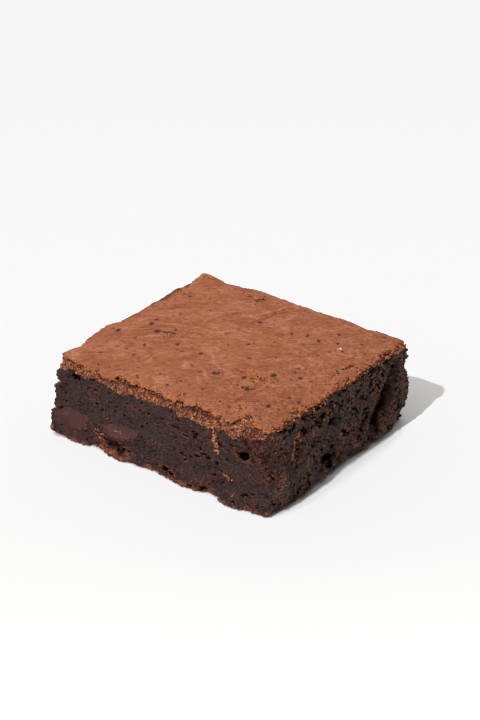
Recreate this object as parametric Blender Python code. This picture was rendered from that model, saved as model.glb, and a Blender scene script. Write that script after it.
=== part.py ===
"""A square of espresso brownie, cut from a tray, with two chunks of chocolate in its cut front.

The brownie is one solid: dense crumb with a baked crust on top, whose torn edge and crags are
relief. The chunks are solids of their own, set in pockets in the crumb. Sizes are in millimetres
until the last step, +Z is up, and the origin is the middle of the footprint, on the table.
The smooth knife cut faces -Y, the rough torn side faces +X.
"""

import math

import bmesh
import bpy
from mathutils import Matrix, Vector, noise

MM = 0.001

# The block before its crumb is shaped
LENGTH = 70.4
DEPTH = 62.6
HEIGHT = 24.3
CORNER_RADIUS = 1.8
CENTRE_SHIFT = Vector((1.3, 1.3, 0.0))

# Cuts of the block into small faces, about 1.5 mm each
CUTS_ALONG_X = 47
CUTS_ALONG_Y = 41
CUTS_ALONG_Z = 16

# The underside: a flat foot, and a baked lip round it that stands clear of the table
FOOT_INSET = 2.6
FOOT_WANDER = 1.1
LIP_LIFT = 0.3

# The wall's lean, side by side, in millimetres outwards: at the crust's edge, at half height
# and at the base. The crust's bevel is BEVEL_DEPTH deep, the base's flare BASE_DEPTH. The crust
# crumbles: its relief is stronger than the wall's by CRUST_CRUMBLE.
BEVEL_DEPTH = 3.6
BASE_DEPTH = 6.0
CRUST_CRUMBLE = 1.1
SIDES = {
    "front": {"faces": Vector((0, -1, 0)), "lean": (-1.0, 0.2, 1.5), "rough": 0.35},
    "right": {"faces": Vector((1, 0, 0)), "lean": (-0.4, 0.2, -0.1), "rough": 0.85},
    "back": {"faces": Vector((0, 1, 0)), "lean": (-0.5, 0.1, 0.2), "rough": 0.7},
    "left": {"faces": Vector((-1, 0, 0)), "lean": (-0.9, 1.1, 2.3), "rough": 0.6},
}

# Crumb: clumps of this size, each rounded, with clefts between them
CLUMP_SIZE = 5.5
CLUMP_FINE = 2.6

# The top: a slow swell, and the low folds of the crust, which run from corner to corner
SWELL = 0.45
SWELL_LENGTH = 24.0
FOLD_HEIGHT = 0.22
FOLD_LENGTH = 19.0
FOLD_SPACING = 4.2
FOLD_BEARING = math.radians(41)
RIM_DROP = 0.5
RIM_SHARE = 0.8

# Hand-placed dabs: centre, reach along x, y and z, and push. They are the shapes that
# show from a step away.
DABS = (
    # The crust's edge is folded down near the front corner, and torn back beside it
    ((20.0, -32.0, 24.3), (3.4, 4.5, 5.0), (0, 0.2, -1.5)),
    ((26.5, -32.0, 24.3), (3.6, 2.5, 2.6), (0, 1.3, -0.2)),
    ((-17.0, -32.0, 24.3), (2.2, 2.5, 3.0), (0, 0.9, 0)),
    ((-23.0, -32.0, 22.8), (3.0, 2.5, 2.2), (0, -0.6, 0)),
    ((6.0, -32.0, 21.6), (9.0, 2.5, 1.8), (0, -0.5, 0)),
    # The crumbling front corner leans back at mid height
    ((35.0, -31.5, 12.0), (3.0, 3.0, 8.0), (-0.7, 0.6, 0)),
    # The back corner of the crust curls up, and the right one is rounded off
    ((-34.0, 31.0, 24.3), (6.0, 6.0, 6.0), (0.4, -0.2, 0.9)),
    ((-26.5, 31.5, 24.3), (2.6, 3.0, 4.0), (0, -1.3, 0)),
    ((-13.0, 31.5, 24.3), (8.0, 3.0, 4.0), (0, 0.6, 0.3)),
    ((35.5, 31.5, 24.3), (3.2, 3.2, 5.0), (-0.3, -0.2, -0.3)),
    # The ragged far left edge of the crust
    ((-35.2, -24.0, 24.3), (3.0, 3.5, 4.0), (1.4, 0, 0)),
    ((-35.2, -11.0, 24.3), (3.0, 4.0, 4.0), (-1.0, 0, 0)),
    ((-35.2, 2.0, 24.3), (3.0, 4.5, 4.0), (0.7, 0, 0)),
    ((-35.2, 18.5, 24.3), (3.0, 3.0, 4.0), (-0.8, 0, 0.2)),
    # The left corner: a nick at mid height, and a lip that spreads at the base
    ((-36.0, -31.5, 16.3), (4.0, 3.2, 1.6), (1.9, 0.7, 0)),
    ((-37.0, -32.0, 9.0), (3.5, 3.5, 7.0), (-2.0, -0.5, 0)),
    ((-37.0, -31.0, 1.5), (4.0, 6.0, 3.0), (-1.9, -0.2, 0)),
    # Craters in the front: two bubbles, and the hollows over the base lip
    ((26.4, -32.0, 14.6), (2.1, 3.0, 1.5), (0, 2.3, 0)),
    ((-28.6, -32.0, 18.6), (2.2, 3.0, 1.4), (0, 1.6, 0)),
    ((-16.8, -32.5, 2.9), (5.2, 3.0, 1.5), (0, 1.9, 0)),
    ((2.4, -32.5, 2.9), (2.8, 3.0, 1.4), (0, 1.5, 0)),
    # The ragged lip along the front's base
    ((-29.0, -32.5, 0.0), (3.4, 4.0, 2.2), (0, -0.6, 0)),
    ((-22.4, -32.5, 0.0), (2.6, 4.0, 2.6), (0, 1.2, 0.4)),
    ((-14.0, -32.5, 0.0), (3.2, 4.0, 1.8), (0, -1.3, 0)),
    ((-3.0, -32.5, 0.0), (2.8, 4.0, 2.4), (0, 0.9, 0)),
    ((8.0, -32.5, 0.0), (4.4, 4.0, 2.2), (0, -1.0, 0)),
    ((16.2, -32.5, 0.0), (2.4, 4.0, 2.6), (0, 0.9, 0.3)),
    ((24.0, -32.5, 0.0), (3.6, 4.0, 2.8), (0, -1.7, 0)),
    # The torn right side: a cave low down, a smaller one above, and lumps that hang out
    ((35.5, -7.6, 5.8), (3.0, 2.6, 2.2), (-2.6, 0, 0)),
    ((35.5, -5.3, 15.6), (3.0, 1.9, 1.3), (-1.6, 0, 0)),
    ((35.5, -20.5, 16.0), (3.0, 3.4, 5.0), (-1.2, 0, 0)),
    ((35.5, 3.0, 11.0), (3.0, 6.0, 4.0), (0.7, 0, 0)),
    ((35.5, -15.0, 8.5), (3.0, 4.0, 3.5), (0.6, 0, 0)),
    ((35.5, 25.0, 10.5), (3.5, 4.4, 6.0), (1.3, 0.3, 0)),
    # The right corner: a nick under the crust, and a bulge with an undercut below it
    ((36.0, 32.0, 17.6), (3.4, 3.4, 1.5), (-1.6, -1.5, 0)),
    ((36.0, 32.0, 1.5), (5.0, 6.0, 3.0), (-1.2, -0.8, 0)),
    # The base of the right side lifts off the table between its lowest lumps
    ((35.5, -11.5, 0.0), (4.0, 2.9, 2.4), (-0.5, 0, 1.6)),
    ((35.5, -3.0, 0.0), (4.0, 2.6, 2.4), (-0.3, 0, 1.4)),
    ((35.5, 4.5, 0.0), (4.0, 3.0, 2.4), (-0.3, 0, 1.5)),
    ((35.5, 16.0, 0.0), (4.0, 4.5, 2.4), (1.1, 0, 0)),
    ((36.0, 27.0, 0.0), (4.0, 3.5, 2.4), (-0.5, 0, 1.8)),
)

# The deep cleft down the right side, as points (y, z), and its width and depth
CLEFT = ((24.0, 19.0), (20.8, 15.6), (19.0, 11.6), (15.6, 8.2), (13.0, 5.4))
CLEFT_WIDTH = 2.1
CLEFT_DEPTH = 2.7

# Chocolate chunks: middle of the cut face (x, z), half its length and height, tilt, and how
# deep the chunk lies in the crumb. The pocket is larger all round by CHUNK_GAP.
CHUNKS = {
    "chocolate_chunk_large": {"at": (-30.4, 5.7), "half": (5.0, 3.5), "tilt": -4, "deep": 5.0},
    "chocolate_chunk_small": {"at": (-14.2, 7.3), "half": (6.2, 2.3), "tilt": 14, "deep": 4.2},
}
CHUNK_GAP = 0.3
CHUNK_PROUD = 0.15
CHUNK_BUMPS = 0.35

CRUMB_BROWN = (0.028, 0.016, 0.013)
CHOCOLATE_BROWN = (0.062, 0.030, 0.028)


def smoothstep(value):
    """0 below 0, 1 above 1, and a smooth rise between."""
    value = min(max(value, 0.0), 1.0)
    return value * value * (3 - 2 * value)


def clear_scene():
    for old in list(bpy.data.objects):
        bpy.data.objects.remove(old)


def new_collection(name):
    collection = bpy.data.collections.new(name)
    bpy.context.scene.collection.children.link(collection)
    return collection


def matte_material(name, colour, roughness):
    material = bpy.data.materials.new(name)
    material.use_nodes = True
    shader = material.node_tree.nodes["Principled BSDF"]
    shader.inputs["Base Color"].default_value = (*colour, 1.0)
    shader.inputs["Roughness"].default_value = roughness
    shader.inputs["Metallic"].default_value = 0.0
    return material


def rounded_plan(x, y):
    """A point of the sharp-cornered plan, moved so that the plan's corners are round."""
    core_x = min(max(x, CORNER_RADIUS - LENGTH / 2), LENGTH / 2 - CORNER_RADIUS)
    core_y = min(max(y, CORNER_RADIUS - DEPTH / 2), DEPTH / 2 - CORNER_RADIUS)
    out = Vector((x - core_x, y - core_y, 0.0))
    if out.length < 1e-6:
        return Vector((x, y, 0.0)), out
    reach = max(abs(out.x), abs(out.y)) / out.length
    return Vector((core_x, core_y, 0.0)) + out * reach, out.normalized()


def side_mix(outward, value_of):
    """A number that each side has its own of, blended round the corners."""
    shares = [max(0.0, outward.dot(side["faces"])) ** 2 for side in SIDES.values()]
    values = [value_of(side) for side in SIDES.values()]
    return sum(a * b for a, b in zip(shares, values)) / sum(shares)


def clumps(point, size):
    """Rounded clumps of crumb: near 1 on a clump, falling to 0 in the cleft between two."""
    (nearest, second, *_), _ = noise.voronoi(point / size)
    return min(1.0, 1.8 * (second - nearest))


def crumb_relief(point):
    """Height of the torn crumb at a point, from about -1 to 1."""
    swell = noise.noise(point / 8.5)
    coarse = clumps(point + Vector((3.1, 7.7, 1.9)), CLUMP_SIZE) - 0.6
    fine = clumps(point, CLUMP_FINE) - 0.6
    return 0.55 * swell + 0.55 * coarse + 0.35 * fine


def distance_to_path(at, path):
    """Distance from a 2D point to a path of straight runs."""
    least = math.inf
    for start, end in zip(path, path[1:]):
        start, run = Vector(start), Vector(end) - Vector(start)
        share = min(max((at - start).dot(run) / run.length_squared, 0.0), 1.0)
        least = min(least, (at - start - run * share).length)
    return least


def cleft_depth(point):
    gap = distance_to_path(Vector((point.y, point.z)), CLEFT) / CLEFT_WIDTH
    return CLEFT_DEPTH * math.exp(-gap * gap)


def dabbed(point):
    """How far the hand-placed dabs move a point of the block."""
    moved = Vector((0.0, 0.0, 0.0))
    for centre, reach, push in DABS:
        gap = sum(((point[i] - centre[i]) / reach[i]) ** 2 for i in range(3))
        if gap < 9:
            moved += Vector(push) * math.exp(-gap)
    return moved


def wall_move(point, outward):
    """How a point of the wall moves from the plain block: its lean, its crumb and the dabs."""
    top, middle, base = (
        side_mix(outward, lambda side, i=i: side["lean"][i]) for i in range(3)
    )
    bevel = smoothstep((point.z - HEIGHT + BEVEL_DEPTH) / BEVEL_DEPTH)
    flare = smoothstep((BASE_DEPTH - point.z) / BASE_DEPTH)
    lean = middle + (top - middle) * bevel + (base - middle) * flare
    rough = side_mix(outward, lambda side: side["rough"]) * (1 + CRUST_CRUMBLE * bevel)
    cleft = cleft_depth(point) * smoothstep(2 * outward.x - 0.6)
    return outward * (lean + rough * crumb_relief(point) - cleft) + dabbed(point)


def fold_height(x, y):
    """The low folds that the crust dries into, which bend as they cross the top."""
    bend = 2.2 * noise.noise(Vector((x / 16, y / 16, 4.0)))
    along = x * math.cos(FOLD_BEARING) + y * math.sin(FOLD_BEARING)
    across = y * math.cos(FOLD_BEARING) - x * math.sin(FOLD_BEARING)
    at = Vector((along / FOLD_LENGTH, across / FOLD_SPACING + bend, 9.0))
    return FOLD_HEIGHT * (1 - 2 * abs(noise.noise(at)))


def rim_over(point):
    """The place on the block's outline that lies outwards of a point, and how near it is, to 1."""
    share = max(2 * abs(point.x) / LENGTH, 2 * abs(point.y) / DEPTH, 1e-3)
    return Vector((point.x / share, point.y / share, point.z)), share


def shape_top(point):
    """A point of the block's top face, with the rim's outline carried inwards and fading."""
    plan, _ = rounded_plan(point.x, point.y)
    rim, share = rim_over(point)
    fade = smoothstep((share - RIM_SHARE) / (1 - RIM_SHARE))
    shaped = Vector((plan.x, plan.y, HEIGHT))
    if fade > 0:
        _, outward = rounded_plan(rim.x, rim.y)
        edge = wall_move(rim, outward)
        shaped += Vector((edge.x, edge.y, 0.0)) * fade
    shaped.z += dabbed(point).z + fold_height(point.x, point.y)
    shaped.z += SWELL * noise.noise(Vector((point.x, point.y, 0.0)) / SWELL_LENGTH)
    shaped.z -= RIM_DROP * fade**3
    return shaped


def shape_wall(point):
    plan, outward = rounded_plan(point.x, point.y)
    return plan + Vector((0.0, 0.0, point.z)) + wall_move(point, outward)


def shape_lip(point):
    """The edge of the underside, which stands a little clear of the table."""
    shaped = shape_wall(point)
    shaped.z = LIP_LIFT * (1 + 0.8 * noise.noise(point / 5)) + max(0.0, dabbed(point).z)
    return shaped


def shape_foot(point):
    """The flat foot's uneven outline, on the table."""
    rim, _ = rim_over(point)
    _, outward = rounded_plan(rim.x, rim.y)
    return point + outward * FOOT_WANDER * noise.noise(point / 5)


def cut_block():
    """The plain block as a bmesh, cut into small faces, with one large face underneath."""
    block = bmesh.new()
    bmesh.ops.create_cube(block, size=1.0)
    bmesh.ops.scale(block, vec=(LENGTH, DEPTH, HEIGHT), verts=block.verts)
    bmesh.ops.translate(block, vec=(0, 0, HEIGHT / 2), verts=block.verts)
    for axis, cuts in enumerate((CUTS_ALONG_X, CUTS_ALONG_Y, CUTS_ALONG_Z)):
        along = [
            edge
            for edge in block.edges
            if abs((edge.verts[1].co - edge.verts[0].co).normalized()[axis]) > 0.9
        ]
        bmesh.ops.subdivide_edges(block, edges=along, cuts=cuts, use_grid_fill=True)
    underneath = [face for face in block.faces if face.calc_center_median().z < 1e-4]
    whole = bmesh.ops.dissolve_faces(block, faces=underneath)["region"]
    bmesh.ops.inset_region(block, faces=whole, thickness=FOOT_INSET)
    return block


def crumb_and_crust(collection):
    """The brownie: the cut block with every vertex moved to its place on the real shape."""
    block = cut_block()
    edge_x, edge_y = LENGTH / 2 - 0.01, DEPTH / 2 - 0.01
    for vertex in block.verts:
        point = vertex.co.copy()
        on_wall = abs(point.x) > edge_x or abs(point.y) > edge_y
        if point.z > HEIGHT - 0.01:
            vertex.co = shape_top(point)
        elif point.z > 0.01:
            vertex.co = shape_wall(point)
        elif on_wall:
            vertex.co = shape_lip(point)
        else:
            vertex.co = shape_foot(point)
    bmesh.ops.triangulate(block, faces=block.faces)
    return finished("brownie", block, collection, matte_material("crumb", CRUMB_BROWN, 0.85))


def chunk_shape(chunk, grow):
    """A broken chunk, grown all round by a gap: a lumpy pebble, flattened at the cut."""
    half_length, half_height = chunk["half"]
    size = Vector((half_length, chunk["deep"], half_height)) + Vector((grow, grow, grow))
    shape = bmesh.new()
    bmesh.ops.create_uvsphere(shape, u_segments=24, v_segments=14, radius=1.0)
    for vertex in shape.verts:
        way = vertex.co.copy()
        lump = CHUNK_BUMPS * noise.noise(1.7 * way + Vector(chunk["at"]).to_3d())
        vertex.co = Vector(size[i] * way[i] for i in range(3)) + way * lump
    turn = Matrix.Rotation(math.radians(-chunk["tilt"]), 4, "Y")
    x, z = chunk["at"]
    face = wall_at(x, z)
    bmesh.ops.transform(shape, matrix=Matrix.Translation((x, face, z)) @ turn, verts=shape.verts)
    return shape, face


def wall_at(x, z):
    """Where the smooth front is, at a place on it, without its fine crumb."""
    point = Vector((x, -DEPTH / 2, z))
    lean = wall_move(point, SIDES["front"]["faces"])
    crumb = SIDES["front"]["rough"] * crumb_relief(point)
    return point.y + lean.y + crumb


def chocolate_chunk(name, chunk, collection):
    """One chunk, sliced off level with the front where the knife went through it."""
    shape, face = chunk_shape(chunk, 0.0)
    cut = bmesh.ops.bisect_plane(
        shape,
        geom=shape.verts[:] + shape.edges[:] + shape.faces[:],
        plane_co=(0, face - CHUNK_PROUD, 0),
        plane_no=(0, -1, 0),
        clear_outer=True,
    )
    rim = [item for item in cut["geom_cut"] if isinstance(item, bmesh.types.BMEdge)]
    bmesh.ops.contextual_create(shape, geom=rim)
    bmesh.ops.recalc_face_normals(shape, faces=shape.faces)
    material = matte_material(name + "_chocolate", CHOCOLATE_BROWN, 0.45)
    return finished(name, shape, collection, material)


def chunk_pocket(name, chunk, collection):
    """The cutter of a chunk's pocket."""
    shape, _ = chunk_shape(chunk, CHUNK_GAP)
    pocket = finished(name + "_pocket", shape, collection, None)
    pocket.hide_render = True
    pocket.display_type = "WIRE"
    return pocket


def finished(name, shape, collection, material):
    """A named object from a bmesh in millimetres, in its place and in metres."""
    bmesh.ops.translate(shape, vec=CENTRE_SHIFT, verts=shape.verts)
    bmesh.ops.scale(shape, vec=(MM, MM, MM), verts=shape.verts)
    mesh = bpy.data.meshes.new(name)
    shape.to_mesh(mesh)
    shape.free()
    if material:
        mesh.materials.append(material)
    made = bpy.data.objects.new(name, mesh)
    collection.objects.link(made)
    return made


def main():
    clear_scene()
    parts = new_collection("espresso_brownie")
    cutters = new_collection("pocket_cutters")
    brownie = crumb_and_crust(parts)
    brownie.data.shade_smooth()
    for name, chunk in CHUNKS.items():
        chocolate_chunk(name, chunk, parts)
        cut = brownie.modifiers.new(name + "_pocket", "BOOLEAN")
        cut.operation = "DIFFERENCE"
        cut.solver = "EXACT"
        cut.object = chunk_pocket(name, chunk, cutters)


main()
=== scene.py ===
import math
import random

import bmesh
import bpy
import numpy as np
from mathutils import Matrix, Vector, kdtree, noise
from mathutils.bvhtree import BVHTree


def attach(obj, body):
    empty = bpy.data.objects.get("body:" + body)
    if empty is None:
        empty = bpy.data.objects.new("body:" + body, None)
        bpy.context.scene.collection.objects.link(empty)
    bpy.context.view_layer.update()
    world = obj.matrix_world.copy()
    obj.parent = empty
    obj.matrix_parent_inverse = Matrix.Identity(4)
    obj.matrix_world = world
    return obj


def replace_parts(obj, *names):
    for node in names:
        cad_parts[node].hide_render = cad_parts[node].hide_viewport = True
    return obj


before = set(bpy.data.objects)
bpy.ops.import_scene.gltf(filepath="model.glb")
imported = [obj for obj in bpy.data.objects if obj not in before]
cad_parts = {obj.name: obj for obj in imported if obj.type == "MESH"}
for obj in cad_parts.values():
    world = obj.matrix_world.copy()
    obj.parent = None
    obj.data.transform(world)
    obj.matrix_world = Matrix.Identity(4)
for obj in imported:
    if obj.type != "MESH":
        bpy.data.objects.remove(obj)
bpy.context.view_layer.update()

# The camera: a long lens that looks down on the front corner of the brownie. The cut face runs
# off to the left and the torn one to the right.
AZIMUTH = math.radians(37.17)
ELEVATION = math.radians(27.59)
CAMERA_FAR = 0.48833
AIM_RIGHT, AIM_UP = 0.00111, 0.01789
MIDDLE = Vector((0.0013, 0.0013, 0.0))

back = Vector((
    math.sin(AZIMUTH) * math.cos(ELEVATION),
    -math.cos(AZIMUTH) * math.cos(ELEVATION),
    math.sin(ELEVATION),
))
right = Vector((math.cos(AZIMUTH), math.sin(AZIMUTH), 0.0))
up = back.cross(right)
camera = bpy.data.objects.new("camera", bpy.data.cameras.new("camera"))
camera.data.lens = 90
camera.data.sensor_width = 36
camera.data.clip_start = 0.01
camera.data.clip_end = 20
camera.location = MIDDLE + right * AIM_RIGHT + up * AIM_UP + back * CAMERA_FAR
camera.rotation_euler = (-back).to_track_quat("-Z", "Y").to_euler()
bpy.context.scene.collection.objects.link(camera)
bpy.context.scene.camera = camera

# The light: a white room, brightest overhead, and one soft lamp in front and above, which leaves
# the torn side in the room's light alone and throws a short shadow behind the brownie. The film
# holds the white table just under full white, as a studio does.
LAMP_RISE = math.radians(46.0)
LAMP_ROUND = math.radians(-1.0)
LAMP_POWER = 1.98
LAMP_WIDTH = math.radians(3.0)
LAMP_LIGHT = (0.94, 0.965, 1.0)
# The room is darker low down, above all on the right, away from its windows
ROOM_RIGHT, ROOM_LEFT = (0.045, 0.046, 0.043), (0.48, 0.484, 0.467)
ROOM_HIGH = (1.05, 1.03, 0.995)
ROOM_RISE = (0.37, 0.93)
ROOM_LEAN = 0.25
FILM = ((0.0, 0.0), (0.57, 0.57), (0.685, 0.90), (0.95, 0.948), (1.0, 1.0))


class Number:
    """A number inside a material, on which Python's operators work by adding Math nodes."""

    def __init__(self, finish, socket):
        self.finish = finish
        self.socket = socket

    def maths(self, operation, *others):
        values = dict(enumerate([self, *others]))
        return self.finish.node("ShaderNodeMath", {"operation": operation}, values)

    def __add__(self, other):
        return self.maths("ADD", other)

    __radd__ = __add__

    def __sub__(self, other):
        return self.maths("SUBTRACT", other)

    def __rsub__(self, other):
        return (self * -1) + other

    def __mul__(self, other):
        return self.maths("MULTIPLY", other)

    __rmul__ = __mul__

    def least(self, other):
        return self.maths("MINIMUM", other)

    def most(self, other):
        return self.maths("MAXIMUM", other)

    def rise(self, low, high):
        """0 below low, 1 above high, and smooth between."""
        settings = {"interpolation_type": "SMOOTHSTEP"}
        return self.finish.node("ShaderNodeMapRange", settings, {0: self, 1: low, 2: high})


class Nodes:
    """The nodes of a material or of the room."""

    def __init__(self, tree):
        self.tree = tree

    def feed(self, socket, value):
        if isinstance(value, Number):
            self.tree.links.new(value.socket, socket)
        elif isinstance(value, tuple) and len(value) == 3 and socket.type == "RGBA":
            socket.default_value = (*value, 1.0)
        else:
            socket.default_value = value

    def node(self, kind, settings=None, sockets=None, output=0):
        made = self.tree.nodes.new(kind)
        for name, value in (settings or {}).items():
            setattr(made, name, value)
        for name, value in (sockets or {}).items():
            self.feed(made.inputs[name], value)
        return Number(self, made.outputs[output])

    def mix(self, share, first, second):
        """A colour between two."""
        sockets = {"Factor": share, 6: first, 7: second}
        return self.node("ShaderNodeMix", {"data_type": "RGBA"}, sockets, 2)

    def coats(self, colour, *coats):
        """A colour with others laid over it in turn, each given as a share and a colour."""
        for share, coat in coats:
            colour = self.mix(share, colour, coat)
        return colour


class Finish(Nodes):
    """A material, with short names for the nodes that recur in it."""

    def __init__(self, name):
        self.material = bpy.data.materials.new(name)
        self.material.use_nodes = True
        super().__init__(self.material.node_tree)
        self.shader = self.tree.nodes["Principled BSDF"]
        self.place = self.node("ShaderNodeTexCoord", output="Object")

    def noise(self, size, detail=2.0, roughness=0.5, place=None):
        """Noise whose blobs are about size millimetres across."""
        sockets = {
            "Vector": place or self.place,
            "Scale": 1000 / size,
            "Detail": detail,
            "Roughness": roughness,
        }
        return self.node("ShaderNodeTexNoise", None, sockets)

    def lines(self, size, width, bend=0.6, place=None):
        """Thin wandering lines, 1 on a line and 0 away from it. Width is a share of the noise."""
        sockets = {
            "Vector": place or self.place,
            "Scale": 1000 / size,
            "Detail": 2.0,
            "Distortion": bend,
        }
        drawn = self.node("ShaderNodeTexNoise", None, sockets)
        return 1 - (drawn - 0.5).maths("ABSOLUTE").rise(0.0, width)

    def stretched(self, along, across, bearing=0.0, bend=0.0):
        """The place, stretched so that noise on it draws streaks, which bend to and fro in millimetres."""
        place = self.place
        if bend:
            wander = self.node("ShaderNodeTexNoise", None, {"Vector": place, "Scale": 110.0}, "Color")
            sockets = {0: wander, 1: (bend / 1000,) * 3, 2: place}
            place = self.node("ShaderNodeVectorMath", {"operation": "MULTIPLY_ADD"}, sockets)
        turned = self.node("ShaderNodeMapping", None, {"Vector": place, "Rotation": (0, 0, -bearing)})
        return self.node("ShaderNodeMapping", None, {"Vector": turned, "Scale": (1 / along, 1 / across, 1)})

    def towards(self, way):
        """How far a place is along a direction, in metres."""
        settings = {"operation": "DOT_PRODUCT"}
        return self.node("ShaderNodeVectorMath", settings, {0: self.place, 1: way}, "Value")

    def attribute(self, name):
        return self.node("ShaderNodeAttribute", {"attribute_name": name}, None, "Fac")

    def bump(self, height, depth):
        """A bump whose height of 1 stands depth millimetres high."""
        sockets = {"Height": height, "Distance": depth / 1000, "Strength": 1.0}
        self.feed(self.shader.inputs["Normal"], self.node("ShaderNodeBump", None, sockets))

    def done(self, colour, roughness, specular):
        self.feed(self.shader.inputs["Base Color"], colour)
        self.feed(self.shader.inputs["Roughness"], roughness)
        self.shader.inputs["Specular IOR Level"].default_value = specular
        return self.material


lamp = bpy.data.objects.new("lamp", bpy.data.lights.new("lamp", "SUN"))
lamp.data.energy = LAMP_POWER
lamp.data.color = LAMP_LIGHT
lamp.data.angle = LAMP_WIDTH
lamp_way = Vector((
    math.sin(LAMP_ROUND) * math.cos(LAMP_RISE),
    -math.cos(LAMP_ROUND) * math.cos(LAMP_RISE),
    math.sin(LAMP_RISE),
))
lamp.rotation_euler = lamp_way.to_track_quat("Z", "Y").to_euler()
bpy.context.scene.collection.objects.link(lamp)
room = bpy.data.worlds.new("room")
room.use_nodes = True
sky = Nodes(room.node_tree)
looking = sky.node("ShaderNodeTexCoord", output="Generated")
upwards = sky.node("ShaderNodeSeparateXYZ", None, {0: looking}, "Z")
leftwards = sky.node("ShaderNodeSeparateXYZ", None, {0: looking}, "X") * -1
room_light = room.node_tree.nodes["Background"]
low_light = sky.mix(leftwards.rise(-0.5, 0.5), ROOM_RIGHT, ROOM_LEFT)
high_share = (upwards + leftwards * ROOM_LEAN).rise(*ROOM_RISE)
sky.feed(room_light.inputs["Color"], sky.mix(high_share, low_light, ROOM_HIGH))
bpy.context.scene.world = room
film = bpy.context.scene.view_settings
film.view_transform = "Standard"
film.use_curve_mapping = True
white_curve = film.curve_mapping.curves[3]
for place, value in FILM[1:-1]:
    white_curve.points.new(place, value)
for point in white_curve.points:
    point.handle_type = "VECTOR"
film.curve_mapping.update()

# The table: a wide white sheet of paper, with painted light falloff that makes it brighter near the camera.
TABLE_WIDE = 6.0
PAPER_FAR_PAINTED_SHADE, PAPER_WHITE, PAPER_NEAR_PAINTED_LIGHT = (0.70,) * 3, (0.865,) * 3, (0.95,) * 3

paper_mesh = bmesh.new()
bmesh.ops.create_grid(paper_mesh, x_segments=1, y_segments=1, size=TABLE_WIDE / 2)
table_mesh = bpy.data.meshes.new("table")
paper_mesh.to_mesh(table_mesh)
paper_mesh.free()
table = bpy.data.objects.new("table", table_mesh)
bpy.context.scene.collection.objects.link(table)
paper = Finish("white_paper")
nearness = paper.towards((back.x, back.y, 0.0))
# Painted light falloff: the paper darker far off and brighter near the camera
white = paper.coats(
    PAPER_FAR_PAINTED_SHADE,
    (nearness.rise(-0.45, -0.05), PAPER_WHITE),
    (nearness.rise(0.03, 0.13), PAPER_NEAR_PAINTED_LIGHT),
)
table_mesh.materials.append(paper.done(white, 0.7, 0.1))

# The crumb: dense dark cake, cut clean by the knife at the front and torn on the other sides. It
# is one skin from under the foot, over the base lip and up the walls to under the top crust,
# laid on the solid's own walls, and then given its pores and clumps. Millimetres from here on.
MM = 0.001
BLOCK_HALF_X, BLOCK_HALF_Y = 35.2, 31.3
BLOCK_CORNER = 1.8
SKIN_STEP = 0.305
# Lengths of the skin under the foot, up the wall and in over the rim, and its rows in each
SKIN_UNDER, SKIN_HEIGHT, SKIN_OVER = 3.2, 24.0, 4.2
SKIN_ROWS = (8, 96, 8)
SKIN_SMOOTHING = 6
SMOOTH_IN, SMOOTH_OUT = 0.5, -0.53
SHEET_DEEP = 0.45
# Heights at which the reach of the base lip and of the rim is taken
LIP_LEVELS, RIM_LEVELS = (0.4, 0.9, 1.5, 2.2), (21.8, 22.6, 23.3, 23.8)

block_middle = MIDDLE / MM


def solids_of(*nodes):
    """Some of the CAD's solids, in one bmesh in millimetres."""
    shape = bmesh.new()
    for node in nodes:
        shape.from_mesh(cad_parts[node].data)
    bmesh.ops.scale(shape, vec=(1 / MM,) * 3, verts=shape.verts)
    return shape


solids = solids_of("brownie", "chocolate_chunk_large", "chocolate_chunk_small")
surface = BVHTree.FromBMesh(solids)
solids.free()


def smoothstep(value):
    value = min(max(value, 0.0), 1.0)
    return value * value * (3 - 2 * value)


def plan(x, y):
    """A point of the block's sharp plan moved onto its round-cornered one, and the way out."""
    core_x = min(max(x, BLOCK_CORNER - BLOCK_HALF_X), BLOCK_HALF_X - BLOCK_CORNER)
    core_y = min(max(y, BLOCK_CORNER - BLOCK_HALF_Y), BLOCK_HALF_Y - BLOCK_CORNER)
    out = Vector((x - core_x, y - core_y, 0.0))
    if out.length < 1e-6:
        return Vector((x, y, 0.0)) + block_middle, out
    reach = max(abs(out.x), abs(out.y)) / out.length
    return Vector((core_x, core_y, 0.0)) + out * reach + block_middle, out.normalized()


def round_trip(share):
    """A place on the block's sharp outline, from the left front corner and anticlockwise."""
    at = share % 1.0 * 4 * (BLOCK_HALF_X + BLOCK_HALF_Y)
    for start, way in (
        ((-BLOCK_HALF_X, -BLOCK_HALF_Y), (1, 0)),
        ((BLOCK_HALF_X, -BLOCK_HALF_Y), (0, 1)),
        ((BLOCK_HALF_X, BLOCK_HALF_Y), (-1, 0)),
        ((-BLOCK_HALF_X, BLOCK_HALF_Y), (0, -1)),
    ):
        side = 2 * (BLOCK_HALF_X if way[0] else BLOCK_HALF_Y)
        if at <= side:
            return start[0] + way[0] * at, start[1] + way[1] * at
        at -= side
    return -BLOCK_HALF_X, -BLOCK_HALF_Y


def wall_reach(foot, out, height):
    """How far out of the plan the solid's wall is at a height."""
    start = foot + out * 12 + Vector((0, 0, height))
    hit, *_ = surface.ray_cast(start, -out, 30)
    return (hit - start).dot(out) + 12 if hit else None


def solid_height(at, from_above):
    """The solid's top or underside over a place of the plan."""
    start = Vector((at.x, at.y, 40.0 if from_above else -10.0))
    hit, *_ = surface.ray_cast(start, Vector((0, 0, -1.0 if from_above else 1.0)))
    return hit.z if hit else None


def first_known(*values):
    return next(value for value in values if value is not None)


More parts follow.
